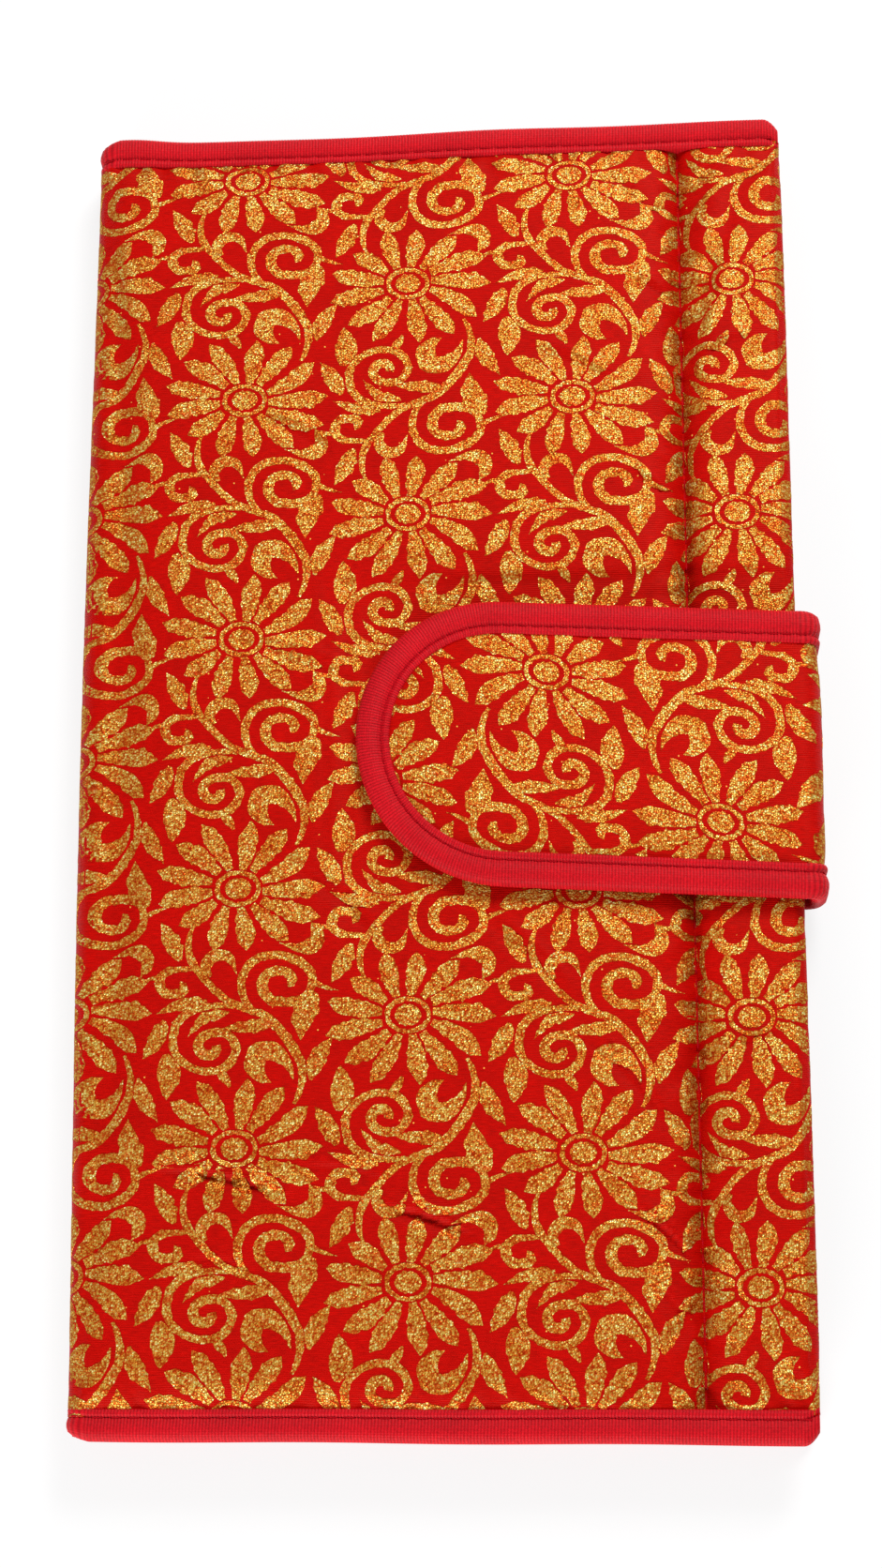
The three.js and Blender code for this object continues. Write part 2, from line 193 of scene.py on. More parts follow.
# Lines and nets of points


def unit(vectors):
    """The same directions, each of length 1."""
    return vectors / np.linalg.norm(vectors, axis=-1, keepdims=True)


def ahead_of(line, closed=False):
    """Which way a line runs at each of its points."""
    return unit(np.roll(line, -1, 0) - np.roll(line, 1, 0) if closed else np.gradient(line, axis=0))


def distances(line):
    """How far along a line each of its points lies."""
    return np.concatenate([[0], np.cumsum(np.linalg.norm(np.diff(line, axis=0), axis=1))])


def equal_steps(line, count):
    """A line with its points at equal steps, and the distance of each along it."""
    lengths = distances(line)
    wanted = np.linspace(0, lengths[-1], count)
    return np.stack([np.interp(wanted, lengths, line[:, axis]) for axis in range(line.shape[1])], -1), wanted


def smooth_line(points, step):
    """A smooth line through the points, at equal steps."""
    dense = thicken(np.asarray(points, float), 12)
    count = max(4, int(round(distances(dense)[-1] / step)) + 1)
    return equal_steps(dense, count)[0]


def grid(across, along):
    """Every place of a net from its places across and along."""
    return np.stack(np.broadcast_arrays(across, along), -1)


def at_level(outline, level):
    """A flat outline lifted to a level."""
    return np.concatenate([outline, np.full((len(outline), 1), level)], 1)


def thicken(points, times):
    """Points along the first axis with others put smoothly between them."""
    before = np.concatenate([2 * points[:1] - points[1:2], points[:-1]])
    after = np.concatenate([points[1:], 2 * points[-1:] - points[-2:-1]])
    further = np.concatenate([after[1:], 2 * after[-1:] - after[-2:-1]])
    rows = []
    for part in range(times):
        t = part / times
        rows.append(
            0.5
            * (
                2 * points
                + (after - before) * t
                + (2 * before - 5 * points + 4 * after - further) * t * t
                + (3 * points - before - 3 * after + further) * t**3
            )
        )
    spread = np.stack(rows, 1).reshape((-1,) + points.shape[1:])
    return spread[: times * (len(points) - 1) + 1]


def net_normals(net):
    """Outward direction at each point of a net."""
    across = np.gradient(net, axis=1)
    along = np.gradient(net, axis=0)
    normal = np.cross(across, along)
    return normal / np.maximum(np.linalg.norm(normal, axis=-1, keepdims=True), 1e-9)


def net_faces(rows, columns, round_across=False, round_along=False):
    """Four-sided faces between neighbours of a net."""
    numbers = np.arange(rows * columns).reshape(rows, columns)
    if round_across:
        numbers = np.concatenate([numbers, numbers[:, :1]], 1)
    if round_along:
        numbers = np.concatenate([numbers, numbers[:1]], 0)
    corners = [numbers[:-1, :-1], numbers[:-1, 1:], numbers[1:, 1:], numbers[1:, :-1]]
    return np.stack([corner.ravel() for corner in corners], -1)


class Gathered:
    """Corners and faces of one piece in millimetres, with the place of each corner on the cloth."""

    def __init__(self):
        self.points = []
        self.cloth = []
        self.faces = []
        self.count = 0

    def add(self, points, faces, cloth=None):
        """More corners and their faces. Without a place on the cloth, a corner's own place is taken."""
        points = np.asarray(points, float).reshape(-1, 3)
        cloth = points if cloth is None else np.asarray(cloth, float).reshape(len(points), -1)
        if cloth.shape[1] == 2:
            cloth = np.concatenate([cloth, np.zeros((len(cloth), 1))], 1)
        self.points.append(points)
        self.cloth.append(cloth)
        for group in faces if isinstance(faces, list) else [faces]:
            self.faces.extend((np.asarray(group) + self.count).tolist())
        self.count += len(points)

    def turn_over(self):
        """The same piece on the facing cover."""
        self.points = [points * (1, 1, -1) + (0, 0, CASE_HEIGHT) for points in self.points]
        self.faces = [face[::-1] for face in self.faces]
        return self

    def inside(self, side):
        """The piece on the inside of a cover, which is drawn for the back cover."""
        return self.turn_over() if side == "front" else self

    def build(self, name, look, smooth=True):
        """The piece as an object, with one of the finishes."""
        mesh = bpy.data.meshes.new(name)
        mesh.from_pydata((np.concatenate(self.points) * MM).tolist(), [], self.faces)
        place = mesh.attributes.new("cloth", "FLOAT_VECTOR", "POINT")
        place.data.foreach_set("vector", np.concatenate(self.cloth).astype(np.float32).ravel())
        mesh.materials.append(finish(look))
        if smooth:
            face_outwards(mesh)
            mesh.shade_smooth()
        mesh.update()
        piece = bpy.data.objects.new(name, mesh)
        bpy.context.scene.collection.objects.link(piece)
        return piece


def face_outwards(mesh):
    """Turns the faces of closed forms outwards."""
    form = bmesh.new()
    form.from_mesh(mesh)
    bmesh.ops.recalc_face_normals(form, faces=form.faces)
    form.to_mesh(mesh)
    form.free()


def add_sheet(gathered, net, cloth, thickness):
    """A closed sheet: the net, the same net pushed in by the cloth's thickness, and the rim between them."""
    rows, columns = net.shape[:2]
    under = net - net_normals(net) * thickness
    faces = net_faces(rows, columns)
    count = rows * columns
    numbers = np.arange(count).reshape(rows, columns)
    rim = np.concatenate([numbers[0], numbers[1:, -1], numbers[-1, -2::-1], numbers[-2:0:-1, 0]])
    following = np.roll(rim, -1)
    edge = np.stack([following, rim, rim + count, following + count], -1)
    points = np.concatenate([net.reshape(-1, 3), under.reshape(-1, 3)])
    places = np.concatenate([cloth.reshape(-1, cloth.shape[-1])] * 2)
    gathered.add(points, [faces, faces[:, ::-1] + count, edge], places)


def add_bar(gathered, rings, cloth=None, closed_path=False):
    """A closed bar through rings of points: rings[step, corner]."""
    steps, corners = rings.shape[:2]
    faces = [net_faces(steps, corners, round_across=True, round_along=closed_path)]
    if not closed_path:
        faces.append([list(range(corners))[::-1]])
        faces.append([list(range((steps - 1) * corners, steps * corners))])
    gathered.add(rings.reshape(-1, 3), faces, cloth)


def add_threads(gathered, middles, along, up, length, radius):
    """Short rounded stitches lying along a seam."""
    shape = ((-1.0, 0.25), (-0.8, 0.85), (-0.35, 1.0), (0.35, 1.0), (0.8, 0.85), (1.0, 0.25))
    side = np.cross(up, along)
    for middle, forward, out, aside in zip(middles, along, up, side):
        rings = []
        for reach, share in shape:
            turn = np.linspace(0, 2 * math.pi, 8, endpoint=False)[:, None]
            bow = -0.35 * radius * reach * reach
            ring = (np.cos(turn) * aside + np.sin(turn) * out) * radius * share
            rings.append(middle + forward * length / 2 * reach + out * bow + ring)
        add_bar(gathered, np.array(rings))


# Finishes


def material(name, colour, roughness, metallic=0.0):
    """A plain material to work on."""
    made = bpy.data.materials.new(name)
    made.use_nodes = True
    shader = made.node_tree.nodes["Principled BSDF"]
    shader.inputs["Base Color"].default_value = (*colour, 1)
    shader.inputs["Roughness"].default_value = roughness
    shader.inputs["Metallic"].default_value = metallic
    return made


def wire(made):
    """A material's tree, nodes, links and shader."""
    tree = made.node_tree
    return tree, tree.nodes, tree.links, tree.nodes["Principled BSDF"]


def on_cloth(made, stretch=(1, 1, 1)):
    """The place on the cloth in millimetres, stretched for a texture."""
    _, nodes, links, _ = wire(made)
    place = nodes.new("ShaderNodeAttribute")
    place.attribute_name = "cloth"
    scale = nodes.new("ShaderNodeVectorMath")
    scale.operation = "MULTIPLY"
    scale.inputs[1].default_value = stretch
    links.new(place.outputs["Vector"], scale.inputs[0])
    return scale.outputs[0]


def grain(made, size, stretch=(1, 1, 1), detail=2.0, rough=0.5):
    """Noise whose grains are about size millimetres."""
    _, nodes, links, _ = wire(made)
    noise = nodes.new("ShaderNodeTexNoise")
    noise.inputs["Scale"].default_value = 1 / size
    noise.inputs["Detail"].default_value = detail
    noise.inputs["Roughness"].default_value = rough
    links.new(on_cloth(made, stretch), noise.inputs["Vector"])
    return noise.outputs["Fac"]


def ramp(made, value, stops):
    """A colour for each value, between stops that each have a place and a colour."""
    _, nodes, links, _ = wire(made)
    made_ramp = nodes.new("ShaderNodeValToRGB")
    band = made_ramp.color_ramp
    while len(band.elements) < len(stops):
        band.elements.new(0.5)
    for element, (place, colour) in zip(band.elements, stops):
        element.position = place
        element.color = (*colour, 1)
    links.new(value, made_ramp.inputs["Fac"])
    return made_ramp.outputs["Color"]


def mixed(made, share, first, second, mode="MIX"):
    """Two colours mixed. A share, colour or output may be given as a number, a tuple or a socket."""
    _, nodes, links, _ = wire(made)
    mix = nodes.new("ShaderNodeMix")
    mix.data_type = "RGBA"
    mix.blend_type = mode
    for socket, given in ((mix.inputs["Factor"], share), (mix.inputs[6], first), (mix.inputs[7], second)):
        if isinstance(given, bpy.types.NodeSocket):
            links.new(given, socket)
        elif isinstance(given, (int, float)):
            socket.default_value = given
        else:
            socket.default_value = (*given, 1)
    return mix.outputs[2]


def arithmetic(made, operation, first, second=0.0, third=0.5):
    """One step of arithmetic on numbers or sockets."""
    _, nodes, links, _ = wire(made)
    node = nodes.new("ShaderNodeMath")
    node.operation = operation
    for socket, given in ((node.inputs[0], first), (node.inputs[1], second), (node.inputs[2], third)):
        if isinstance(given, bpy.types.NodeSocket):
            links.new(given, socket)
        else:
            socket.default_value = given
    return node.outputs[0]


def ridges(made, axis, pitch):
    """A wave from -1 to 1 across threads that lie pitch millimetres apart."""
    _, nodes, links, _ = wire(made)
    split = nodes.new("ShaderNodeSeparateXYZ")
    links.new(on_cloth(made), split.inputs[0])
    return arithmetic(made, "SINE", arithmetic(made, "MULTIPLY", split.outputs[axis], 2 * math.pi / pitch))


def raise_by(made, height, distance, strength=1.0):
    """Bump from a height, with distance in metres."""
    _, nodes, links, shader = wire(made)
    bump = nodes.new("ShaderNodeBump")
    bump.inputs["Distance"].default_value = distance
    bump.inputs["Strength"].default_value = strength
    links.new(height, bump.inputs["Height"])
    links.new(bump.outputs["Normal"], shader.inputs["Normal"])


def shine(shader, level, tint):
    """How strongly a surface mirrors, and in which colour."""
    shader.inputs["Specular IOR Level"].default_value = level
    shader.inputs["Specular Tint"].default_value = (*tint, 1)


def shaded(colour, share):
    """A colour made darker or lighter."""
    return tuple(min(1.0, value * share) for value in colour)


def grey(level):
    """A grey as a colour."""
    return (level, level, level)


def flecked(made, value, colour, dark, light):
    """Darker and lighter shades of a colour: dark and light are each a value and a share of the colour."""
    return ramp(made, value, [(place, shaded(colour, share)) for place, share in (dark, light)])


def satin_finish(name, colour, specks=False):
    """Satin: fine streaks along the weft and a soft shine."""
    made = material(name, colour, 0.5)
    _, _, links, shader = wire(made)
    streak = flecked(made, grain(made, 0.5, (0.25, 2.2, 1), 3), colour, (0.3, 0.7), (0.7, 1.12))
    cloud = ramp(made, grain(made, 14), [(0.3, grey(0.86)), (0.7, grey(1.0))])
    cloth = mixed(made, 1.0, streak, cloud, "MULTIPLY")
    links.new(stray_gold(made, cloth) if specks else cloth, shader.inputs["Base Color"])
    threads = arithmetic(made, "ADD", ridges(made, 1, 0.42), grain(made, 0.35, (0.4, 1.5, 1)))
    raise_by(made, threads, 0.04 * MM, 0.5)
    shine(shader, 0.12, (1.0, 0.3, 0.2))
    return made


def stray_gold(made, colour):
    """Here and there a loose end of gold thread on the ground."""
    _, nodes, links, _ = wire(made)
    dots = nodes.new("ShaderNodeTexVoronoi")
    dots.inputs["Scale"].default_value = 1 / 2.4
    links.new(on_cloth(made), dots.inputs["Vector"])
    split = nodes.new("ShaderNodeSeparateColor")
    links.new(dots.outputs["Color"], split.inputs[0])
    near = arithmetic(made, "LESS_THAN", dots.outputs["Distance"], 0.07)
    some = arithmetic(made, "GREATER_THAN", split.outputs[0], 0.72)
    return mixed(made, arithmetic(made, "MULTIPLY", near, some), colour, (0.8, 0.42, 0.07))


def gold_finish(name):
    """Woven metal thread: a random tone for each bead, a painted highlight at the middle of each bead and painted
    shade towards its edge, worn and dulled here and there.
    """
    gold = tuple(colours().gold)
    made = material(name, gold, 0.36, 0.65)
    _, nodes, links, shader = wire(made)
    beads = nodes.new("ShaderNodeTexVoronoi")
    beads.inputs["Scale"].default_value = 1 / 0.42
    beads.inputs["Randomness"].default_value = 0.8
    links.new(on_cloth(made, (0.95, 1.1, 1)), beads.inputs["Vector"])
    split = nodes.new("ShaderNodeSeparateColor")
    links.new(beads.outputs["Color"], split.inputs[0])
    # Painted light: each bead is painted lighter at its middle and darker towards its edge, as painted highlight and
    # painted shade between beads.
    painted_bead_light = arithmetic(made, "MULTIPLY_ADD", beads.outputs["Distance"], -1.2, 0.775)
    bead_tone_and_painted_light = arithmetic(made, "MULTIPLY_ADD", split.outputs[0], 0.5, painted_bead_light)
    # Random tone per bead plus the painted light above: the palest stops serve as painted highlights.
    tones = [
        (0.0, (0.33, 0.02, 0.001)),
        (0.22, (0.39, 0.08, 0.006)),
        (0.48, gold),
        (0.68, (0.49, 0.385, 0.085)),
        (0.86, (0.57, 0.57, 0.23)),
        (1.0, (0.66, 0.7, 0.44)),
    ]
    colour = ramp(made, bead_tone_and_painted_light, tones)
    worn = ramp(made, grain(made, 2.6, (1, 1.4, 1), 4), [(0.55, grey(0.0)), (0.73, grey(0.7))])
    colour = mixed(made, worn, colour, (0.48, 0.065, 0.01))
    patch = ramp(made, grain(made, 1.3, (0.6, 1.3, 1), 3), [(0.36, (0.9, 0.58, 0.38)), (0.58, grey(1.0))])
    colour = mixed(made, 1.0, colour, patch, "MULTIPLY")
    cloud = ramp(made, grain(made, 5.5), [(0.36, (0.9, 0.66, 0.42)), (0.56, grey(1.0))])
    links.new(mixed(made, 1.0, colour, cloud, "MULTIPLY"), shader.inputs["Base Color"])
    shine(shader, 0.3, (1.0, 0.75, 0.25))
    rough = ramp(made, split.outputs[1], [(0.2, grey(0.5)), (0.9, grey(0.24))])
    links.new(rough, shader.inputs["Roughness"])
    slope = arithmetic(made, "MULTIPLY", beads.outputs["Distance"], 1.6)
    raise_by(made, arithmetic(made, "SUBTRACT", split.outputs[2], slope), 0.13 * MM, 0.72)
    return made


def tape_finish(name):
    """Ribbed tape: the ribs are modelled, their grooves are painted darker as painted shade, and the fine warp across
    them is bump.
    """
    tape = tuple(colours().tape)
    made = material(name, tape, 0.55)
    _, _, links, shader = wire(made)
    fleck = flecked(made, grain(made, 0.6, detail=3), tape, (0.3, 0.8), (0.72, 1.15))
    cloud = ramp(made, grain(made, 11), [(0.3, grey(0.84)), (0.7, grey(1.0))])
    colour = mixed(made, 1.0, fleck, cloud, "MULTIPLY")
    # Painted shade: the colour is darkened in the grooves between the modelled ribs.
    crest = arithmetic(made, "SINE", arithmetic(made, "ADD", rib_turn(made), math.pi / 2))
    height = arithmetic(made, "MULTIPLY_ADD", crest, 0.5, 0.5)
    rows = ramp(made, height, [(0.1, (0.66, 0.62, 0.62)), (0.75, grey(1.0))])
    links.new(mixed(made, 1.0, colour, rows, "MULTIPLY"), shader.inputs["Base Color"])
    raise_by(made, arithmetic(made, "ADD", ridges(made, 1, 0.5), grain(made, 0.3)), 0.03 * MM, 0.5)
    shine(shader, 0.18, (1.0, 0.5, 0.5))
    return made


def rib_turn(made):
    """The turn of the tape's ribs along the tape, in radians."""
    _, nodes, links, _ = wire(made)
    split = nodes.new("ShaderNodeSeparateXYZ")
    links.new(on_cloth(made), split.inputs[0])
    return arithmetic(made, "MULTIPLY", split.outputs[0], 2 * math.pi * MM / sizes().rib)


def thread_finish(name):
    """Twisted sewing thread."""
    thread = tuple(colours().thread)
    made = material(name, thread, 0.7)
    _, _, links, shader = wire(made)
    shine(shader, 0.1, (1.0, 0.3, 0.3))
    twist = grain(made, 0.25)
    links.new(flecked(made, twist, thread, (0.3, 0.6), (0.7, 1.4)), shader.inputs["Base Color"])
    raise_by(made, twist, 0.05 * MM, 0.6)
    return made


def film_finish(name):
    """Clear soft film with a faint haze."""
    made = material(name, (0.9, 0.93, 0.95), 0.12)
    _, _, links, shader = wire(made)
    haze = ramp(made, grain(made, 30), [(0.3, grey(0.022)), (0.75, grey(0.038))])
    links.new(haze, shader.inputs["Alpha"])
    raise_by(made, grain(made, 25, (1, 0.5, 1)), 0.6 * MM, 0.5)
    shader.inputs["Coat Weight"].default_value = 0.5
    shader.inputs["Coat Roughness"].default_value = 0.08
    return made


def metal_finish(name):
    """Polished brass with fine scuffs."""
    metal = tuple(colours().metal)
    made = material(name, metal, 0.28, 1.0)
    _, _, links, shader = wire(made)
    scuff = grain(made, 1.2, (1, 4, 1), 4)
    links.new(flecked(made, scuff, metal, (0.3, 0.8), (0.7, 1.1)), shader.inputs["Base Color"])
    links.new(ramp(made, scuff, [(0.3, grey(0.22)), (0.7, grey(0.4))]), shader.inputs["Roughness"])
    raise_by(made, scuff, 0.02 * MM, 0.4)
    return made


def coil_finish(name):
    """Smooth polyester coil, a little lighter where it is rubbed."""
    tape = shaded(tuple(colours().tape), 0.75)
    made = material(name, tape, 0.35)
    _, _, links, shader = wire(made)
    rubbed = grain(made, 2.5, detail=4)
    links.new(flecked(made, rubbed, tape, (0.35, 0.8), (0.7, 1.25)), shader.inputs["Base Color"])
    raise_by(made, grain(made, 0.3), 0.02 * MM, 0.4)
    return made


def nap_finish(name):
    """Dull fuzz of the hook and loop tape."""
    lining = tuple(colours().lining)
    made = material(name, lining, 0.95)
    _, _, links, shader = wire(made)
    fuzz = grain(made, 0.5, detail=4, rough=0.7)
    links.new(flecked(made, fuzz, lining, (0.3, 0.6), (0.7, 1.3)), shader.inputs["Base Color"])
    raise_by(made, fuzz, 0.3 * MM, 0.8)
    shine(shader, 0.12, (1.0, 0.4, 0.4))
    return made


@functools.cache
def finish(name):
    """One material for each finish, made when it is first asked for."""
    makers = {
        "brocade_ground": lambda: satin_finish(name, tuple(colours().ground), specks=True),
        "woven_gold": lambda: gold_finish(name),
        "ribbed_tape": lambda: tape_finish(name),
        "sewing_thread": lambda: thread_finish(name),
        "satin_lining": lambda: satin_finish(name, tuple(colours().lining)),
        "clear_film": lambda: film_finish(name),
        "brass": lambda: metal_finish(name),
        "zip_cloth": lambda: satin_finish(name, shaded(tuple(colours().tape), 0.8)),
        "zip_coil": lambda: coil_finish(name),
        "hook_and_loop": lambda: nap_finish(name),
    }
    return makers[name]()


# The padded covers


def cover_section():
    """The front cover's cloth from the middle of the spine over the front and round the open edge to the hem."""
    corner = SPINE_FACE + SOFT_CORNER
    roll = COVER / 2
    edge = OPEN_EDGE - roll
    parts = []
    parts.append([(SPINE_FACE, z) for z in np.linspace(CASE_HEIGHT / 2, CASE_HEIGHT - SOFT_CORNER, 3)[:-1]])
    turn = np.radians(np.linspace(180, 90, 5))[:-1]
    level = CASE_HEIGHT - SOFT_CORNER
    parts.append([(corner + SOFT_CORNER * math.cos(t), level + SOFT_CORNER * math.sin(t)) for t in turn])
    parts.append([(x, CASE_HEIGHT) for x in np.linspace(corner, HEM_END, 58)[:-1]])
    parts.append([(x, CASE_HEIGHT) for x in np.linspace(HEM_END, edge, 10)[:-1]])
    turn = np.radians(np.linspace(90, -90, 7))[:-1]
    parts.append([(edge + roll * math.cos(t), CASE_HEIGHT - roll + roll * math.sin(t)) for t in turn])
    parts.append([(x, CASE_HEIGHT - COVER) for x in np.linspace(edge, HEM_END, 10)])
    section = np.array([point for part in parts for point in part])
    lengths = distances(section)
    start = np.argmin(np.abs(section[:, 0] - corner) + np.abs(section[:, 1] - CASE_HEIGHT))
    return section, lengths - lengths[start] + corner


def settle_cloth(net, held, slack, pressure, frames):
    """Lets a net of cloth swell and wrinkle between its held points, and returns where it comes to rest."""
    grow = 0.01
    rows, columns = net.shape[:2]
    mesh = bpy.data.meshes.new("settling")
    mesh.from_pydata((net.reshape(-1, 3) * grow).tolist(), [], net_faces(rows, columns).tolist())
    cloth = bpy.data.objects.new("settling", mesh)
    scene = bpy.context.scene
    scene.collection.objects.link(cloth)
    group = cloth.vertex_groups.new(name="held")
    group.add(np.flatnonzero(held.ravel()).tolist(), 1.0, "REPLACE")
    modifier = cloth.modifiers.new("Cloth", "CLOTH")
    settings = modifier.settings
    settings.quality = 6
    settings.mass = 0.3
    settings.air_damping = 3
    settings.tension_stiffness = 25
    settings.compression_stiffness = 25
    settings.shear_stiffness = 8
    settings.bending_stiffness = 0.6
    settings.vertex_group_mass = "held"
    settings.shrink_min = -slack
    settings.use_pressure = True
    settings.uniform_pressure_force = pressure
    settings.effector_weights.gravity = 0
    modifier.collision_settings.use_collision = False
    modifier.collision_settings.use_self_collision = False
    modifier.point_cache.frame_start = 1
    modifier.point_cache.frame_end = frames
    for number in range(1, frames + 1):
        scene.frame_set(number)
    shown = cloth.evaluated_get(bpy.context.evaluated_depsgraph_get())
    rest = np.empty(len(mesh.vertices) * 3, np.float32)
    shown.data.vertices.foreach_get("co", rest)
    scene.frame_set(1)
    bpy.data.objects.remove(cloth)
    bpy.data.meshes.remove(mesh)
    return rest.reshape(net.shape).astype(float) / grow


def crease(net, start, end, depth, width):
    """How much a short crease between two points of the front lowers and raises each point of a net."""
    start, end = np.array(start, float), np.array(end, float)
    line = end - start
    length = np.linalg.norm(line)
    line /= length
    away = net[..., :2] - start
    along = away @ line
    bow = 0.06 * length * np.sin(math.pi * np.clip(along / length, 0, 1))
    aside = away @ np.array([-line[1], line[0]]) - bow
    taper = np.clip(np.minimum(along, length - along) / (0.3 * length), 0, 1)
    valley = np.exp(-((aside / width) ** 2))
    lip = 0.9 * np.exp(-(((aside - width) / width) ** 2))
    return 2.0 * depth * taper * (lip - valley)


FRONT_CREASES = (
    # start, end, depth and width
    ((-60, -87), (-28, -93), 1.0, 1.1),
    ((-14, -94), (8, -101), 1.0, 1.1),
    ((-30, -86), (-8, -90), 0.45, 1.1),
    ((-52, -104), (-36, -107), 0.35, 1.0),
    ((10, -36), (27, -53), 0.5, 1.4),
    ((-32, -22), (-12, -40), 0.45, 1.5),
    ((30, -60), (47, -80), 0.5, 1.3),
    ((38, -94), (51, -106), 0.7, 1.2),
    ((41, -108), (51, -120), 0.5, 1.1),
    ((-42, 24), (-16, 14), 0.4, 1.4),
    ((-38, 74), (-22, 66), 0.35, 1.3),
    ((20, 88), (38, 80), 0.35, 1.3),
    ((40, 60), (51, 52), 0.5, 1.1),
    ((42, 104), (51, 98), 0.5, 1.0),
    ((56, 84), (68, 90), 0.4, 1.1),
    ((56, -66), (69, -60), 0.45, 1.1),
)


def closer_at_seam(net, across):
    """The net with columns closer together beside the hem seam, for its narrow groove."""
    beside = np.array([0, 0.22, 0.5, 0.85, 1.25, 1.7])
    close = HEM_END + np.concatenate([-beside[:0:-1], beside])
    wanted = np.sort(np.concatenate([across[np.abs(across - HEM_END) > 2.0], close]))
    left = np.clip(np.searchsorted(across, wanted, side="right") - 1, 0, len(across) - 2)
    share = ((wanted - across[left]) / (across[left + 1] - across[left]))[None, :, None]
    return net[:, left] * (1 - share) + net[:, left + 1] * share, wanted


def swelled_net():
    """A cover's cloth over its padding, drawn for the front: a net, with its places across and along the cloth."""
    section, across = cover_section()
    along = np.linspace(-CLOTH_END, CLOTH_END, 121)
    start = np.empty((len(along), len(section), 3))
    start[..., 0] = section[None, :, 0]
    start[..., 1] = along[:, None]
    start[..., 2] = section[None, :, 1]
    on_front = (np.abs(section[:, 1] - CASE_HEIGHT) < 0.01) & (section[:, 0] > SPINE_FACE + SOFT_CORNER)
    seam = int(np.argmin(np.abs(section[:, 0] - HEM_END) + 100 * ~on_front))
    under_tab = (start[..., 0] > TAB_TIP - 4) & (np.abs(start[..., 1]) < TAB_HALF + 6) & on_front[None, :]
    held = np.zeros(start.shape[:2], bool)
    held[[0, -1], :] = True
    held[:, [0, seam]] = True
    held[:, -8:] = True
    dip = sizes().seam_dip / MM
    for step, share in ((0, 1.0), (1, 0.55), (2, 0.2)):
        start[:, sorted({seam - step, seam + step}), 2] -= share * dip
    start[[0, -1], :, 2] -= 0.7 * on_front[None, :]
    out = net_normals(start)
    settled = settle_cloth(start, held, slack=sizes().slack, pressure=2.5, frames=24)
    moved = settled - start
    rise = np.sum(moved * out, axis=-1, keepdims=True)
    moved += out * (np.maximum(rise, 0.1 * rise) - rise)
    far = np.linalg.norm(moved, axis=-1, keepdims=True)
    limit = np.full(start.shape[:2], sizes().swell / MM)
    limit[under_tab] = 0.5
    limit = (limit + np.roll(limit, 2, 0) + np.roll(limit, -2, 0) + np.roll(limit, 2, 1) + np.roll(limit, -2, 1)) / 5
    moved *= np.tanh(far / limit[..., None]) * limit[..., None] / np.maximum(far, 1e-6)
    return start + moved, across, along


def sew_in(net):
    """Works the fold at the spine, the hem seam, the gathers by the end tape and the creases into a front net."""
    from_end = CLOTH_END - np.abs(net[..., 1])
    beside = np.clip((SPINE_FACE + SOFT_CORNER + 3 - net[..., 0]) / 6, 0, 1) * (1 - np.exp(-from_end / 6))
    net[..., 0] -= beside * (1.6 * np.cos(0.5 * math.pi * net[..., 1] / CASE_END) - 0.2)
    x, y = net[..., 0], net[..., 1]
    top = np.clip((net[..., 2] - CASE_HEIGHT + 2.5) / 2, 0, 1)
    from_seam = x - HEM_END
    pinch = 1 + 0.3 * np.sin(1.75 * y + 2 * np.sin(0.3 * y))
    groove = 1.2 * np.exp(-(np.abs(from_seam / 0.65) ** 1.6)) + 1.0 * pinch * np.exp(-((from_seam / 2.1) ** 2))
    pucker = 0.42 * np.sin(y * 1.1 + 1.3 * np.sin(y * 0.21)) * np.exp(-np.abs(from_seam) / 3.2)
    net[..., 2] += top * (pucker - groove)
    from_tape = np.abs(CASE_END - np.abs(y) - 6.5)
    net[..., 2] += top * (0.16 * np.sin(x * 1.3 + 2 * np.sin(x * 0.17)) * np.exp(-from_tape / 4.0))
    for begin, end, depth, width in FRONT_CREASES:
        net[..., 2] += top * crease(net, begin, end, depth, width)


def cover_net(back):
    """The cloth of one cover as a fine net, with its places across and along the cloth."""
    net, across, along = swelled_net()
    net = thicken(net, 2)
    net = thicken(net.transpose(1, 0, 2), 2).transpose(1, 0, 2)
    net, across = closer_at_seam(net, thicken(across, 2))
    along = thicken(along, 2)
    sew_in(net)
    if back:
        net[..., 2] = np.maximum(CASE_HEIGHT - net[..., 2], 0.05)
        net = net[:, ::-1]
        across = across[::-1]
    return net, across, along


def cover_cloth(side):
    """Brocade ground of one cover, from the middle of the spine to the hem."""
    back = side == "back"
    net, across, along = COVER_NETS[side] = cover_net(back)
    gathered = Gathered()
    add_sheet(gathered, net, grid(across, along[:, None]), SHEET)
    piece = gathered.build(f"{side}_cloth", "brocade_ground")
    hide = [f"{side}_brocade", f"{side}_foam"] + ([] if back else ["spine_brocade", "spine_foam"])
    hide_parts(*hide)
    bend_at_spine(piece)
    return piece


def bend_at_spine(piece):
    """Bakes the piece's placement into its mesh."""
    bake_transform(piece)


class ORGANISER_OT_covers(bpy.types.Operator):
    """Sew the padded brocade of both covers and the spine"""

    bl_idname = "organiser.covers"
    bl_label = "Covers"

    def execute(self, context):
        for side in SIDES:
            cover_cloth(side)
        return {"FINISHED"}


# The woven flowers and scrolls, in millimetres from the middle of a flower

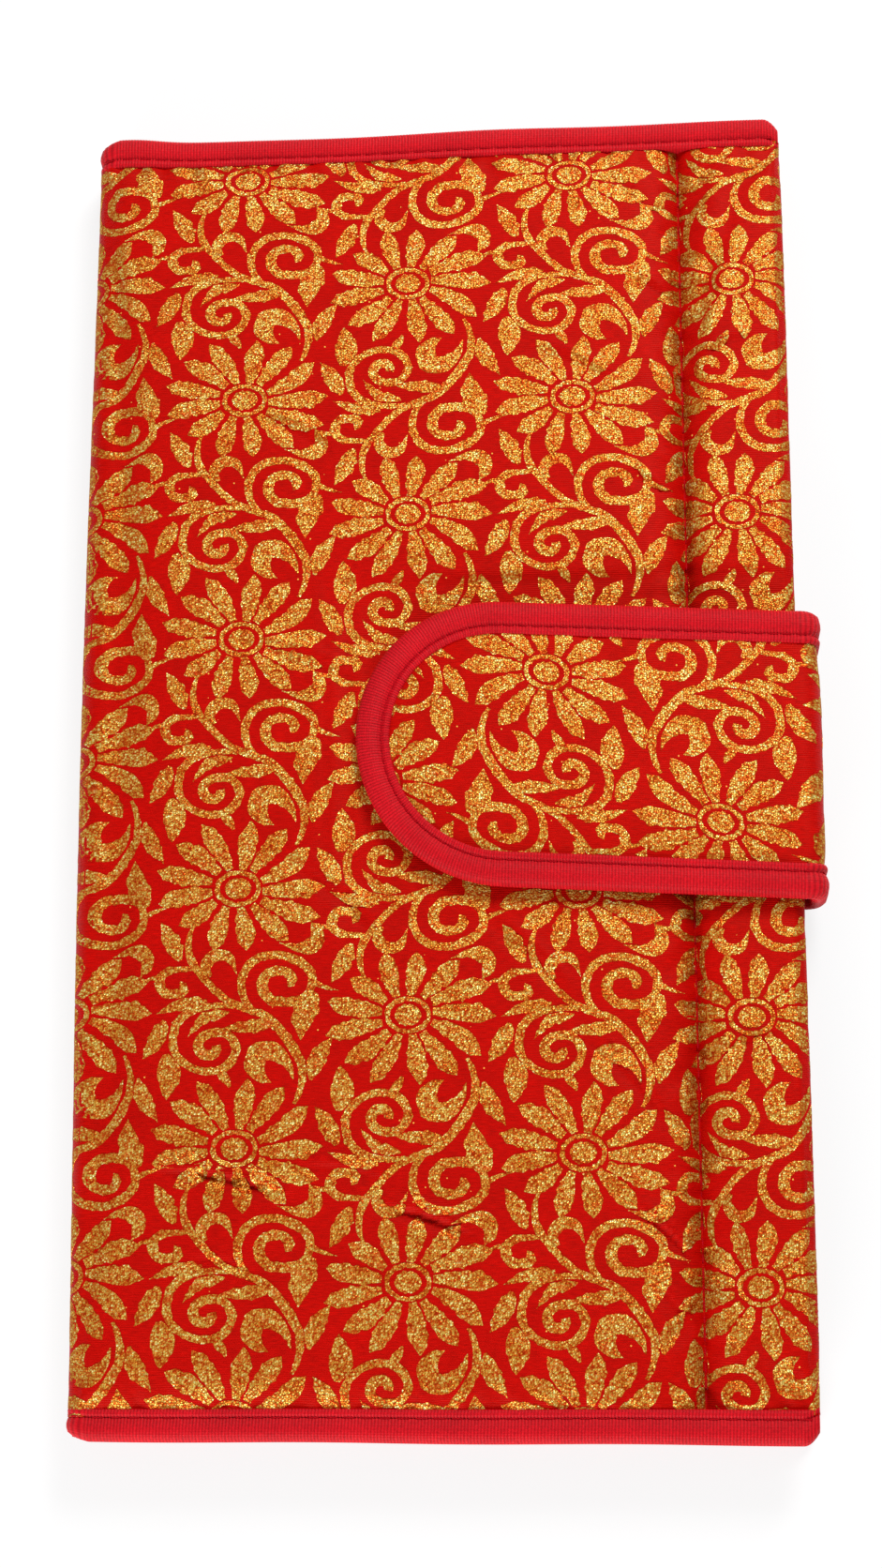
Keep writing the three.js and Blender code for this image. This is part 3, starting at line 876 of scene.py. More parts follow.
FLOWER_MIDDLE = (-0.05, -0.75)
PETALS = (
    # inner end, middle and tip
    ((5.0, -1.4), (11.0, -1.2), (17.9, -0.4)),
    ((4.8, -3.3), (10.8, -5.7), (17.1, -7.0)),
    ((2.9, -4.3), (6.7, -8.1), (10.5, -11.9)),
    ((0.4, -4.7), (1.5, -9.2), (1.8, -13.7)),
    ((-2.4, -4.5), (-3.9, -9.2), (-4.7, -13.6)),
    ((-4.6, -3.5), (-8.0, -6.2), (-12.0, -8.3)),
    ((-5.3, -1.5), (-10.6, -2.3), (-16.5, -3.7)),
    ((-5.3, 0.8), (-10.8, 1.8), (-16.8, 3.2)),
    ((-3.9, 2.6), (-7.9, 5.9), (-13.0, 8.8)),
    ((-1.7, 3.2), (-4.5, 8.4), (-7.6, 12.9)),
    ((0.8, 3.2), (1.8, 8.4), (2.5, 13.4)),
    ((2.9, 2.8), (6.3, 7.2), (9.9, 11.6)),
    ((4.8, 0.8), (9.8, 3.3), (14.8, 7.7)),
)
# Half a petal's width, and the shares of it and of a leaf's from the foot to the tip.
PETAL_HALF = 1.98
PETAL = (0.47, 0.69, 0.92, 1.05, 1.1, 0.86, 0.12)
LEAF = (0.32, 0.88, 1.12, 1.1, 0.9, 0.56, 0.06)
SCROLLS = (
    # points along the middle, and half widths from one end to the other
    # main stem
    (
        ((-8.7, -8.0), (-9.8, -10.9), (-9.9, -13.4), (-9.1, -16.2), (-7.7, -18.1), (-5.9, -20.2), (-3.8, -22.4),
         (-1.4, -24.3), (1.6, -25.6), (5.3, -27.0), (8.0, -29.1), (10.1, -31.5), (11.9, -34.1), (13.2, -37.0),
         (13.7, -39.6), (13.2, -42.4), (12.0, -45.2)),
        (0.5, 1.0, 0.95, 0.95, 1.1, 1.2, 1.1, 0.6),
    ),
    # large scroll to the right
    (
        ((2.9, -25.8), (1.3, -23.1), (0.9, -20.6), (1.3, -18.4), (2.5, -16.5), (4.6, -15.2), (7.3, -14.7),
         (10.1, -15.0), (12.6, -16.1), (14.7, -17.7), (15.6, -19.7), (15.2, -21.6), (14.0, -23.3), (11.9, -24.3),
         (9.4, -24.5), (7.1, -24.0), (5.6, -22.7), (5.1, -20.9), (5.8, -19.1), (7.3, -18.1), (9.4, -18.1),
         (11.1, -19.0), (11.5, -20.3), (10.4, -20.7)),
        (0.8, 1.1, 1.1, 1.05, 1.15, 1.1, 1.05, 1.25, 1.3, 1.15, 1.1),
    ),
    # large scroll to the left
    (
        ((-0.6, -25.2), (-3.4, -25.0), (-5.9, -25.2), (-8.4, -25.8), (-10.6, -27.0), (-12.2, -29.1), (-12.8, -31.6),
         (-12.4, -34.1), (-10.9, -36.3), (-8.8, -37.7), (-6.3, -38.4), (-3.5, -38.2), (-1.4, -37.0), (-0.1, -34.9),
         (-0.3, -32.7), (-1.7, -31.0), (-3.8, -30.5), (-6.2, -31.0), (-7.5, -32.7), (-7.1, -34.5), (-5.4, -35.2),
         (-3.9, -34.5), (-4.0, -33.2)),
        (0.6, 0.9, 1.05, 1.05, 1.0, 1.0, 1.15, 1.1, 1.1, 1.3, 1.2),
    ),
    # small scroll
    (
        ((-8.6, -17.4), (-10.9, -17.4), (-13.1, -17.5), (-15.0, -18.4), (-15.9, -20.0), (-15.2, -21.8),
         (-13.4, -22.5), (-11.1, -22.2), (-10.6, -21.0), (-11.6, -20.7)),
        (0.6, 0.85, 1.05, 1.3, 1.15, 1.15, 1.1),
    ),
    # crescent
    (
        ((-5.3, -19.0), (-6.3, -17.1), (-5.3, -15.1), (-3.2, -14.5), (-1.3, -15.6), (-0.1, -18.6)),
        (0.6, 1.5, 1.45, 1.05, 0.25),
    ),
    # spurs
    (((15.6, -20.2), (18.2, -21.5), (21.0, -22.2)), (0.8, 0.65, 0.15)),
    (((-3.6, -38.2), (-2.2, -39.8), (-1.1, -41.7)), (0.7, 1.2, 0.5)),
    (((-16.2, -19.2), (-18.0, -19.3), (-19.8, -20.0)), (0.6, 0.6, 0.15)),
    # curled leaves
    (((8.7, -12.1), (12.3, -13.2), (15.6, -12.7), (16.5, -10.4), (15.0, -7.5)), (0.15, 0.9, 2.0, 1.6, 0.15)),
    (
        ((7.3, -40.9), (4.8, -39.4), (3.8, -36.9), (4.7, -34.8), (7.2, -34.5), (9.6, -36.0), (11.2, -38.2),
         (11.8, -40.3)),
        (0.15, 1.6, 2.4, 2.4, 2.3, 1.6, 0.9, 0.15),
    ),
)
# Steps of the weave along the edges of petals and leaves: how far they stand out, and how far apart they are.
TOOTH = 0.5
TOOTH_PITCH = 2.3
BAND_STEP = 0.85  # between the corners along a band of thread
BAND_SHRINK = 0.17  # by which a band is drawn narrower than its widths, since its edges are ragged
LEAVES = (
    # foot, middle, tip and half width
    ((-11.6, -15.6), (-13.5, -11.6), (-15.8, -7.6), 1.85),
    ((-6.0, -24.0), (-11.0, -24.7), (-16.3, -26.6), 1.25),
    ((-14.5, -28.0), (-16.2, -31.8), (-19.0, -35.8), 1.85),
    ((-14.2, -34.9), (-13.4, -39.2), (-13.8, -44.1), 2.35),
    ((-1.5, -26.4), (-6.4, -27.6), (-9.7, -31.4), 1.2),
    ((7.2, -29.2), (2.6, -29.3), (-3.1, -29.9), 1.4),
    ((16.3, -22.6), (13.7, -27.3), (13.2, -32.3), 2.4),
    ((15.2, -40.4), (16.8, -35.9), (19.7, -31.5), 1.75),
)


def ellipse(wide, high, count):
    """An oval about the origin."""
    turn = np.linspace(0, 2 * math.pi, count, endpoint=False)
    return np.stack([wide * np.cos(turn), high * np.sin(turn)], -1)


def ribbon(line, widths, ragged, closed=False, tooth=0.0):
    """A flat band of thread along a line: its corners, how high each stands (1 is full height) and its faces."""
    ahead = ahead_of(line, closed)
    aside = np.stack([-ahead[:, 1], ahead[:, 0]], -1)
    share = np.linspace(0, 1, len(line))
    half = np.interp(share, np.linspace(0, 1, len(widths)), widths) - BAND_SHRINK
    gone = np.cumsum(np.linalg.norm(np.gradient(line, axis=0), axis=1)) / TOOTH_PITCH
    edges = []
    for shift in (0.0, 0.4):
        edge = half * (1 + ragged.normal(0, 0.04, len(line))) + ragged.normal(0.0, 0.09, len(line))
        edge += tooth * half / max(widths) * (((gone + shift) % 1.0) - 0.5)
        edges.append(np.maximum(edge, 0.05))
    left, right = edges
    top = np.linspace(1, -1, 5 if max(widths) > 1.4 else 3)
    inner = np.where(top > 0, (left[:, None] - 0.04) * top, (right[:, None] - 0.04) * top)
    reach = np.concatenate([left[:, None], inner, -right[:, None]], 1)
    count = reach.shape[1]
    corners = line[:, None, :] + aside[:, None, :] * reach[..., None]
    heights = np.broadcast_to(np.concatenate([[-0.8], 1.05 - 0.1 * top**2, [-0.8]]), reach.shape)
    faces = [net_faces(len(line), count, round_across=True, round_along=closed)[:, ::-1]]
    if not closed:
        faces.append([list(range(count))])
        faces.append([[count * len(line) - 1 - corner for corner in range(count)]])
    return corners.reshape(-1, 2), heights.ravel(), faces


@functools.cache
def flower_and_scroll():
    """One flower with its scroll, as bands of thread."""
    ragged = np.random.default_rng(11)
    bands = []
    middle = np.array(FLOWER_MIDDLE)
    bands.append(ribbon(middle + ellipse(4.2, 3.35, 44), (0.67, 0.67), ragged, closed=True))
    turn = np.linspace(0.2, math.pi - 0.2, 17)
    across = middle + np.stack([-2.75 * np.cos(turn), 0 * turn], -1)
    bands.append(ribbon(across, 2.4 * np.sin(turn), ragged))
    for points in PETALS:
        bands.append(ribbon(smooth_line(points, BAND_STEP), PETAL_HALF * np.array(PETAL), ragged, tooth=TOOTH))
    for points, widths in SCROLLS:
        bands.append(ribbon(smooth_line(points, BAND_STEP), widths, ragged))
    for *points, half in LEAVES:
        bands.append(ribbon(smooth_line(points, BAND_STEP), half * np.array(LEAF), ragged, tooth=TOOTH))
    return bands


def lattice(low, high):
    """Middles of the flowers that reach into an area of the cloth. Every second column is turned over."""
    column, repeat = sizes().column / MM, sizes().repeat / MM
    first_even, even_height, odd_rise, askew = 29.2, 24.6, 25.9, 0.02
    reach_across, reach_along = 24, 48
    middles = []
    for number in range(-10, 6):
        x = first_even + number * column
        turned = number % 2 == 1
        height = even_height + (odd_rise if turned else 0)
        for step in range(-5, 6):
            y = height + step * repeat - askew * x
            in_reach = low[0] - reach_across < x < high[0] + reach_across
            if in_reach and low[1] - reach_along < y < high[1] + reach_along:
                middles.append((x, y, turned))
    return middles


def cut_to(low, high):
    """A cut of cloth between two corners: which points it keeps, which lie on it, and all points drawn onto it."""
    near = 0.9

    def cut(flat):
        drawn = np.clip(flat, low, high)
        off = np.abs(flat - drawn).max(1)
        return off < near, off < 1e-9, drawn

    return cut


def weave_gold(name, low, high, cuts, place):
    """Gold flowers over an area of cloth: cuts tell which corners lie on it, and place puts them on its surface."""
    gathered = Gathered()
    for x, y, turned in lattice(low, high):
        for corners, heights, faces in flower_and_scroll():
            flat = corners * ((1, -1) if turned else (1, 1)) + (x, y)
            for cut in cuts:
                kept, inside, drawn = cut(flat)
                loops = []
                used = np.zeros(len(flat), bool)
                for group in faces:
                    group = np.asarray(group)
                    group = group[kept[group].all(1) & inside[group].any(1)]
                    used[group.ravel()] = True
                    if len(group):
                        loops.append(group[:, ::-1] if turned else group)
                if not loops:
                    continue
                renumber = np.cumsum(used) - 1
                points = place(drawn[used], heights[used] * sizes().relief / MM)
                gathered.add(points, [renumber[group] for group in loops], flat[used])
    return gathered.build(name, "woven_gold", smooth=False)


def on_net(side):
    """A function that puts flat points on a cover's cloth, with the cloth's places across and along it."""
    net, across, along = COVER_NETS[side]
    normal = net_normals(net)
    if across[0] > across[-1]:
        net, normal, across = net[:, ::-1], normal[:, ::-1], across[::-1]
    twist = net[:-1, :-1] + net[1:, 1:] - net[:-1, 1:] - net[1:, :-1]
    twist = 0.3 * np.abs(np.sum(twist * normal[:-1, :-1], axis=-1))

    def place(flat, lift):
        column = np.interp(flat[:, 0], across, np.arange(len(across)))
        row = np.interp(flat[:, 1], along, np.arange(len(along)))
        left = np.minimum(column.astype(int), len(across) - 2)
        low = np.minimum(row.astype(int), len(along) - 2)
        u, v = (column - left)[:, None], (row - low)[:, None]

        def spread(values):
            return (
                values[low, left] * (1 - u) * (1 - v)
                + values[low, left + 1] * u * (1 - v)
                + values[low + 1, left] * (1 - u) * v
                + values[low + 1, left + 1] * u * v
            )

        return spread(net) + unit(spread(normal)) * (lift + twist[low, left])[:, None]

    return place, across, along


class ORGANISER_OT_gold(bpy.types.Operator):
    """Weave the gold flowers and scrolls into both covers"""

    bl_idname = "organiser.gold"
    bl_label = "Gold flowers"

    def execute(self, context):
        for side in SIDES:
            self.weave_cover(side)
        return {"FINISHED"}

    def weave_cover(self, side):
        """The flowers run on from the front over the spine to the back."""
        place, across, along = on_net(side)
        fold = across[0]
        stretch, stretch_from, stretch_share = 1.0, -40, 0.04
        gather_from, gather_share = 78, 0.045
        rim = 0.1

        def drawn_up(flat, lift):
            """The cloth is drawn together a little towards the top and stretched a little over the spine."""
            x, y = flat[:, 0], flat[:, 1]
            x = x - stretch_share * np.clip(stretch_from - x, 0, stretch / stretch_share)
            y = y - gather_share * np.clip(y - gather_from, 0, None)
            return place(np.stack([x if side == "front" else 2 * fold - x, y], -1), lift)

        first, hem, last = fold + rim + stretch, HEM_END, across[-1] - rim
        spans = ((first, hem - SEAM_GAP), (hem + SEAM_GAP, last))
        if side == "back":
            over = 2 * fold + stretch
            spans = ((over - last, over - hem - SEAM_GAP), (over - hem + SEAM_GAP, fold - rim + stretch))
        bottom, top = along[0] + rim, along[-1] + 2.6
        cuts = [cut_to(np.array([near, bottom]), np.array([far, top])) for near, far in spans]
        low, high = np.array([spans[0][0], bottom]), np.array([spans[1][1], top])
        piece = weave_gold(f"{side}_gold", low, high, cuts, drawn_up)
        bend_at_spine(piece)


# Edge tape


def tape_profile(width, half, proud, inner):
    """A folded tape seen end on: distance in from the edge and height, out over the top and back underneath."""
    groove, lip = width - GROOVE, width
    over = [
        (lip + 0.1, half - 0.35), (lip, half + 0.25), (lip - 0.35, half + 0.5),
        (groove + 0.75, half + 0.55), (groove + 0.35, half + 0.3), (groove, half - 0.2),
        (groove - 0.35, half + 0.25), (groove - 1.0, half + 0.7 * proud), (groove - 1.9, half + proud),
        (groove - 2.9, half + 0.95 * proud), (0.75, half + 0.55 * proud), (0.1, half - 0.35),
    ]
    nose = [(-0.25, half - 1.0), (-0.3, 0.0), (-0.25, 1.0 - half)]
    under = [(d, -(half + (h - half) * inner)) for d, h in reversed(over)]
    return np.array(over + nose + under)


def rib_steps(line):
    """A line with four steps for each rib of a tape, and the distance of each along it."""
    return equal_steps(line, int(distances(line)[-1] / (sizes().rib / MM / 4)) + 1)


def ribbed(distance):
    """How far each step along a tape stands up, for its ribs."""
    return 0.075 * np.cos(2 * math.pi * distance / (sizes().rib / MM))


def over_tape(distance, profile):
    """The place on a tape of each point of its rings: the distance along it and the way round its profile."""
    round_it = np.cumsum(np.abs(np.diff(profile[:, 0], prepend=profile[0, 0])))
    return grid(distance[:, None], round_it)


def cover_tape_path():
    """The middle line of a cover's end, from the open edge round the soft corner to the middle of the spine."""
    half = COVER / 2
    bend = SOFT_CORNER - half
    corner = SPINE_FACE + SOFT_CORNER
    level = CASE_HEIGHT - half
    points = [(x, level) for x in np.linspace(OPEN_EDGE - 0.2, corner, 40)]
    turn = np.radians(np.linspace(90, 180, 12))[1:]
    points += [(corner + bend * math.cos(t), level - bend + bend * math.sin(t)) for t in turn]
    points += [(SPINE_FACE + half, z) for z in np.linspace(level - bend, CASE_HEIGHT / 2, 6)[1:]]
    return rib_steps(np.array(points))


def eased(share):
    """A smooth step from 0 to 1."""
    share = np.clip(share, 0, 1)
    return share * share * (3 - 2 * share)


def end_pull(distance):
    """How far the tape is drawn in: at its turned-in end by the open edge and where it is folded at the spine."""
    at_edge = 2.6 * np.clip(1 - distance / 3.2, 0, 1) ** 2
    fold = distance[-1] - CASE_HEIGHT / 2
    return at_edge + 0.9 * eased((distance - fold + 0.2) / 3.4)


def edge_wave(x, end):
    """How far the sewn end of the case wanders outwards: it stands up by the spine and is otherwise a little askew."""
    if end > 0:
        stands_up = 1.2 * np.exp(-(((x + 68) / 9) ** 2))
        sags = 0.6 * np.exp(-(((x + 34) / 26) ** 2))
        return stands_up - sags + 0.15 * np.sin(x * 0.12)
    return 0.55 * x / OPEN_EDGE + 0.12 * np.sin(x * 0.1 + 1)


def drawn_in(inward, pull, wave):
    """How far from the end of the case a point lies that is sewn inward of the tape's outer edge."""
    reach = 6.5
    spread = np.sqrt(np.clip((reach - inward) / reach, 0, 1))
    return inward + pull * spread - wave * (0.4 + 0.6 * spread)


def cover_tape(side, end):
    """Ribbed tape over one end of a cover, with its stitches."""
    path, distance = cover_tape_path()
    ahead = ahead_of(path)
    out = np.stack([ahead[:, 1], -ahead[:, 0]], -1)
    profile = tape_profile(END_TAPE, COVER / 2, 0.75, 0.55)
    inward, height = profile[:, 0], profile[:, 1]
    pull = end_pull(distance)
    wave = edge_wave(path[:, 0], end)
    thin = 1 - 0.35 * np.clip(1 - distance / 3.0, 0, 1)
    flattened = 0.6 * eased((distance - distance[-1] + CASE_HEIGHT / 2) / 4)
    tall = height[None, :] * thin[:, None] + ribbed(distance)[:, None] * np.sign(height)[None, :]
    tall = np.where(tall > 1.0, tall - flattened[:, None], tall)
    inside_bend = np.maximum(tall, -(SOFT_CORNER - COVER / 2) + 0.02)
    bending = np.abs(ahead[:, 0] * ahead[:, 1]) > 1e-4
    tall = np.where(bending[:, None], inside_bend, tall)
    rings = np.empty((len(path), len(profile), 3))
    rings[..., 0] = path[:, None, 0] + out[:, None, 0] * tall
    rings[..., 1] = end * (CASE_END - drawn_in(inward[None, :], pull[:, None], wave[:, None]))
    rings[..., 2] = path[:, None, 1] + out[:, None, 1] * tall
    places = over_tape(distance, profile)
    if side == "back":
        rings[..., 2] = np.maximum(CASE_HEIGHT - rings[..., 2], 0.03)
    turned = (end > 0) != (side == "back")
    if turned:
        rings, places = rings[:, ::-1], places[:, ::-1]
    gathered = Gathered()
    add_bar(gathered, rings, places)
    end_name = "top" if end > 0 else "bottom"
    name = f"{side}_{end_name}"
    piece = gathered.build(f"{name}_edge", "ribbed_tape")
    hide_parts(f"{name}_binding")
    if side == "front":
        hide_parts(f"spine_{end_name}_binding")
    bend_at_spine(piece)

    stitches = Gathered()
    pitch = sizes().stitch / MM
    numbers = np.searchsorted(distance, np.arange(2.5, distance[-1] - 1, pitch))
    for level in (1, -1):
        if level < 0:
            numbers = numbers[np.abs(ahead[numbers, 0]) > 0.99]
        point = path[numbers] + out[numbers] * level * (COVER / 2 + 0.02 * level)
        from_end = drawn_in(END_TAPE - GROOVE, pull[numbers], wave[numbers])
        at = np.stack([point[:, 0], end * (CASE_END - from_end), point[:, 1]], -1)
        forward = np.stack([ahead[numbers, 0], 0 * numbers, ahead[numbers, 1]], -1)
        up = np.stack([out[numbers, 0], 0 * numbers, out[numbers, 1]], -1) * level
        if side == "back":
            at[:, 2] = np.maximum(CASE_HEIGHT - at[:, 2], 0.3)
            forward[:, 2] *= -1
            up[:, 2] *= -1
        add_threads(stitches, at, forward, up, 0.72 * pitch, THREAD)
    thread = stitches.build(f"{name}_edge_stitches", "sewing_thread")
    bend_at_spine(thread)


class ORGANISER_OT_edges(bpy.types.Operator):
    """Bind the ends of the case with ribbed tape"""

    bl_idname = "organiser.edges"
    bl_label = "Edge tape"

    def execute(self, context):
        for side in SIDES:
            for end in (1, -1):
                cover_tape(side, end)
        return {"FINISHED"}


class ORGANISER_OT_seams(bpy.types.Operator):
    """Stitch the hem seam beside the open edge of each cover"""

    bl_idname = "organiser.seams"
    bl_label = "Hem seams"

    def execute(self, context):
        for side in SIDES:
            place, _, _ = on_net(side)
            pitch = 0.85 * sizes().stitch / MM
            middles = np.arange(-TAPE_INNER + 2, TAPE_INNER - 2, pitch)
            flat = np.stack([np.full(len(middles), HEM_END), middles], -1)
            sunk = np.full(len(middles), -0.05)
            at = place(flat, sunk)
            ahead = unit(place(flat + (0, 0.8), sunk) - at)
            up = np.tile((0, 0, 1.0 if side == "front" else -1.0), (len(at), 1))
            if side == "back":
                at[:, 2] = np.maximum(at[:, 2], 0.3)
            gathered = Gathered()
            add_threads(gathered, at, ahead, up, 0.66 * pitch, THREAD)
            piece = gathered.build(f"{side}_seam_stitches", "sewing_thread")
            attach(piece, f"{side}_cover")
        return {"FINISHED"}


# The closing tab


def strap_line(reach):
    """Where the middle of the strap lies at each reach from the tip: x, z and the outward direction in x and z."""
    past = reach - STRAP_FLAT
    turn = np.clip(past / STRAP_BEND, 0, math.pi / 2)
    turn_low = np.clip((past - STRAP_TURN - STRAP_FALL) / STRAP_BEND, 0, math.pi / 2)
    fall = np.clip(past - STRAP_TURN, 0, STRAP_FALL)
    back = np.clip(past - 2 * STRAP_TURN - STRAP_FALL, 0, None)
    x = np.where(past < 0, TAB_TIP + reach, WRAP_MIDDLE - STRAP_BEND + STRAP_BEND * np.sin(turn))
    x = x - STRAP_BEND * (1 - np.cos(turn_low)) - back
    z = TAB_MIDDLE - STRAP_BEND * (1 - np.cos(turn)) - fall - STRAP_BEND * np.sin(turn_low)
    angle = math.pi / 2 - turn - turn_low
    return x, z, np.cos(angle), np.sin(angle)


def on_strap(reach, aside, height):
    """A point of the tab from its reach from the tip, its place across and its height from the middle layer."""
    reach, aside, height = np.broadcast_arrays(reach, aside, height)
    x, z, out_x, out_z = strap_line(reach)
    x_now = x + out_x * height
    lean = TAB_SLOPE * np.clip(OPEN_EDGE - x_now, 0, None) * (reach < STRAP_FLAT + STRAP_TURN)
    return np.stack([x_now, TAB_CENTRE + lean + aside, z + out_z * height], -1)


def tab_half(reach, inset):
    """Half the tab's width at a reach from its tip, drawn in from the outline."""
    radius = TAB_HALF - inset
    return np.sqrt(np.clip(radius**2 - np.clip(TAB_HALF - reach, 0, None) ** 2, 0, None))


def tab_top(reach, aside):
    """Height of the tab's padded top over its middle layer."""
    radial = np.hypot(np.clip(TAB_HALF - reach, 0, None), aside)
    to_edge = np.clip(TAB_HALF - TAB_INSET - radial, 0, None)
    swell = sizes().tab_swell / MM * (1 - np.exp(-to_edge / 4.0))
    by_edge = 0.12 * np.sin(0.55 * reach + 0.4 * aside) * np.exp(-to_edge / 5.0)
    ripple = by_edge + 0.1 * np.sin(0.16 * reach - 0.2 * aside)
    return TAB_THICK / 2 - 0.35 + swell + ripple


def tab_net(top):
    """The tab's cloth inside its tape, from the tip to halfway down the wrap."""
    first = TAB_INSET + 0.02
    round_part = first + (TAB_HALF - first) * (1 - np.cos(np.linspace(0, math.pi / 2, 40)))
    straight = np.linspace(TAB_HALF, STRAP_HALFWAY, 80)[1:]
    reach = np.concatenate([round_part, straight])
    half = np.maximum(tab_half(reach, TAB_INSET), 0.3)
    aside = half[None, :] * np.linspace(-1, 1, 61)[:, None]
    reach = np.broadcast_to(reach[None, :], aside.shape)
    height = tab_top(reach, aside) if top else TAB_UNDER - tab_top(reach, aside)
    return on_strap(reach, aside, height), np.stack([reach + TAB_TIP, aside], -1)


def bend_at_tab(piece):
    """Bakes the piece's placement into its mesh."""
    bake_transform(piece)


def bend_at_root(piece):
    """Bakes the piece's placement into its mesh."""
    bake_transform(piece)


def strap_tape(name, outline, ahead_in, bend):
    """Ribbed tape along an outline of the strap given as reach and place across, with its stitches."""
    line, distance = rib_steps(outline)
    ahead = ahead_of(line)
    inward = np.stack([-ahead[:, 1], ahead[:, 0]], -1) * ahead_in
    profile = tape_profile(TAB_TAPE, TAB_THICK / 2, 0.75, 0.3)
    reach = line[:, None, 0] + inward[:, None, 0] * profile[None, :, 0]
    aside = line[:, None, 1] + inward[:, None, 1] * profile[None, :, 0]
    height = profile[None, :, 1] + ribbed(distance)[:, None] * np.sign(profile[None, :, 1])
    rings = on_strap(reach, aside, height)
    places = over_tape(distance, profile)
    if ahead_in < 0:
        rings, places = rings[:, ::-1], places[:, ::-1]
    gathered = Gathered()
    add_bar(gathered, rings, places)
    piece = gathered.build(name, "ribbed_tape")
    bend(piece)
    pitch = 0.8 * sizes().stitch / MM
    numbers = np.searchsorted(distance, np.arange(1.5, distance[-1] - 1, pitch))
    stitches = Gathered()
    groove = line[numbers] + inward[numbers] * (TAB_TAPE - GROOVE)
    further = groove + 0.4 * ahead[numbers]
    for level in (1, -1):
        height = level * (TAB_THICK / 2 + 0.02 * level)
        at = on_strap(groove[:, 0], groove[:, 1], height)
        forward = unit(on_strap(further[:, 0], further[:, 1], height) - at)
        up = on_strap(groove[:, 0], groove[:, 1], height + level) - at
        add_threads(stitches, at, forward, up, 0.7 * pitch, THREAD)
    thread = stitches.build(f"{name}_stitches", "sewing_thread")
    bend(thread)
    return piece


def on_tab(flat, lift):
    """Puts flat points on the padded top of the tab and strap."""
    reach, aside = flat[:, 0] - TAB_TIP, flat[:, 1]
    return on_strap(reach, aside, tab_top(reach, aside) + lift)


def on_tab_under(flat, lift):
    """Puts flat points on the underside of the tab."""
    reach, aside = flat[:, 0] - TAB_TIP, flat[:, 1]
    return on_strap(reach, aside, TAB_UNDER - tab_top(reach, aside) - lift)


def weave_turned(name, start, end, inside):
    """Gold on the strap between two reaches. Its cloth is cut the other way up and a little askew."""
    middle = np.array([52.4, 37.2])
    askew, straight_at = 0.066, 40
    spare = 4

    def turned(flat):
        over = middle - flat
        over[:, 1] -= askew * (over[:, 0] - straight_at)
        return over

    def cut(flat):
        over = turned(flat)
        kept = inside(over[:, 0] - TAB_TIP, over[:, 1])
        return kept, kept, flat

    def place(flat, lift):
        return on_tab(turned(flat), lift)

    low, high = np.array([TAB_TIP + start, -TAB_HALF]), np.array([TAB_TIP + end, TAB_HALF])
    return weave_gold(name, middle - high - spare, middle - low + spare, [cut], place)


class ORGANISER_OT_tab(bpy.types.Operator):
    """Make the closing tab and the strap that wraps the open edge"""

    bl_idname = "organiser.tab"
    bl_label = "Closing tab"

    def execute(self, context):
        self.make_tab()
        self.make_strap()
        return {"FINISHED"}

    def make_tab(self):
        """The tab from its tip to halfway down the wrap: brocade with its gold, lining and tape."""
        net, places = tab_net(True)
        gathered = Gathered()
        add_sheet(gathered, net.transpose(1, 0, 2)[:, ::-1], places.transpose(1, 0, 2)[:, ::-1], SHEET)
        top = gathered.build("tab_cloth", "brocade_ground")
        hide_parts("tab_brocade", "tab_foam")
        bend_at_tab(top)

        def inside(reach, aside):
            within = np.abs(aside) < tab_half(reach, TAB_GOLD_INSET)
            return within & (reach > TAB_GOLD_INSET) & (reach < STRAP_HALFWAY - 0.1)

        gold = weave_turned("tab_gold", 0, STRAP_HALFWAY, inside)
        bend_at_tab(gold)

        net, places = tab_net(False)
        gathered = Gathered()
        add_sheet(gathered, net.transpose(1, 0, 2), places.transpose(1, 0, 2), SHEET)
        lining = gathered.build("tab_under", "satin_lining")
        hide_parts("tab_lining")
        bend_at_tab(lining)

        turn = np.linspace(math.pi / 2, 1.5 * math.pi, 90)
        tip = np.stack([TAB_HALF + TAB_HALF * np.cos(turn), TAB_HALF * np.sin(turn)], -1)
        outline = np.concatenate([[(STRAP_HALFWAY, TAB_HALF)], tip, [(STRAP_HALFWAY, -TAB_HALF)]])
        edge = strap_tape("tab_edge", outline, 1, bend_at_tab)
        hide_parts("tab_binding")

    def make_strap(self):
        """The strap from halfway down the wrap to its root: brocade with its gold, lining and tapes."""
        reach = np.linspace(STRAP_HALFWAY, STRAP_END, 40)
        aside = np.linspace(TAB_INSET - TAB_HALF, TAB_HALF - TAB_INSET, 50)
        reach, aside = np.meshgrid(reach, aside, indexing="ij")
        thick = tab_top(reach, aside)
        gathered = Gathered()
        add_sheet(gathered, on_strap(reach, -aside, thick), grid(reach, aside), TAB_THICK / 2 + 0.1)
        strap = gathered.build("strap_cloth", "brocade_ground")
        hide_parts("tab_wrap", "tab_root")
        bend_at_root(strap)

        def on_wrap(reach, aside):
            within = np.abs(aside) < TAB_HALF - TAB_GOLD_INSET
            return within & (reach > STRAP_HALFWAY) & (reach < STRAP_END - 0.3)

        gold = weave_turned("strap_gold", STRAP_HALFWAY, STRAP_END, on_wrap)
        bend_at_root(gold)

        gathered = Gathered()
        add_sheet(gathered, on_strap(reach, aside, TAB_UNDER - thick), grid(reach + TAB_TIP, aside), 1.2)
        lining = gathered.build("strap_under", "satin_lining")
        bend_at_root(lining)

        for label, side in (("top", 1), ("bottom", -1)):
            line = np.array([(STRAP_HALFWAY, side * TAB_HALF), (STRAP_END, side * TAB_HALF)])
            piece = strap_tape(f"strap_{label}_edge", line, -side, bend_at_root)
            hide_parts(f"tab_wrap_{label}_binding")


# Inside: linings, pockets and zips. Each is made on the back cover and turned over for the front.


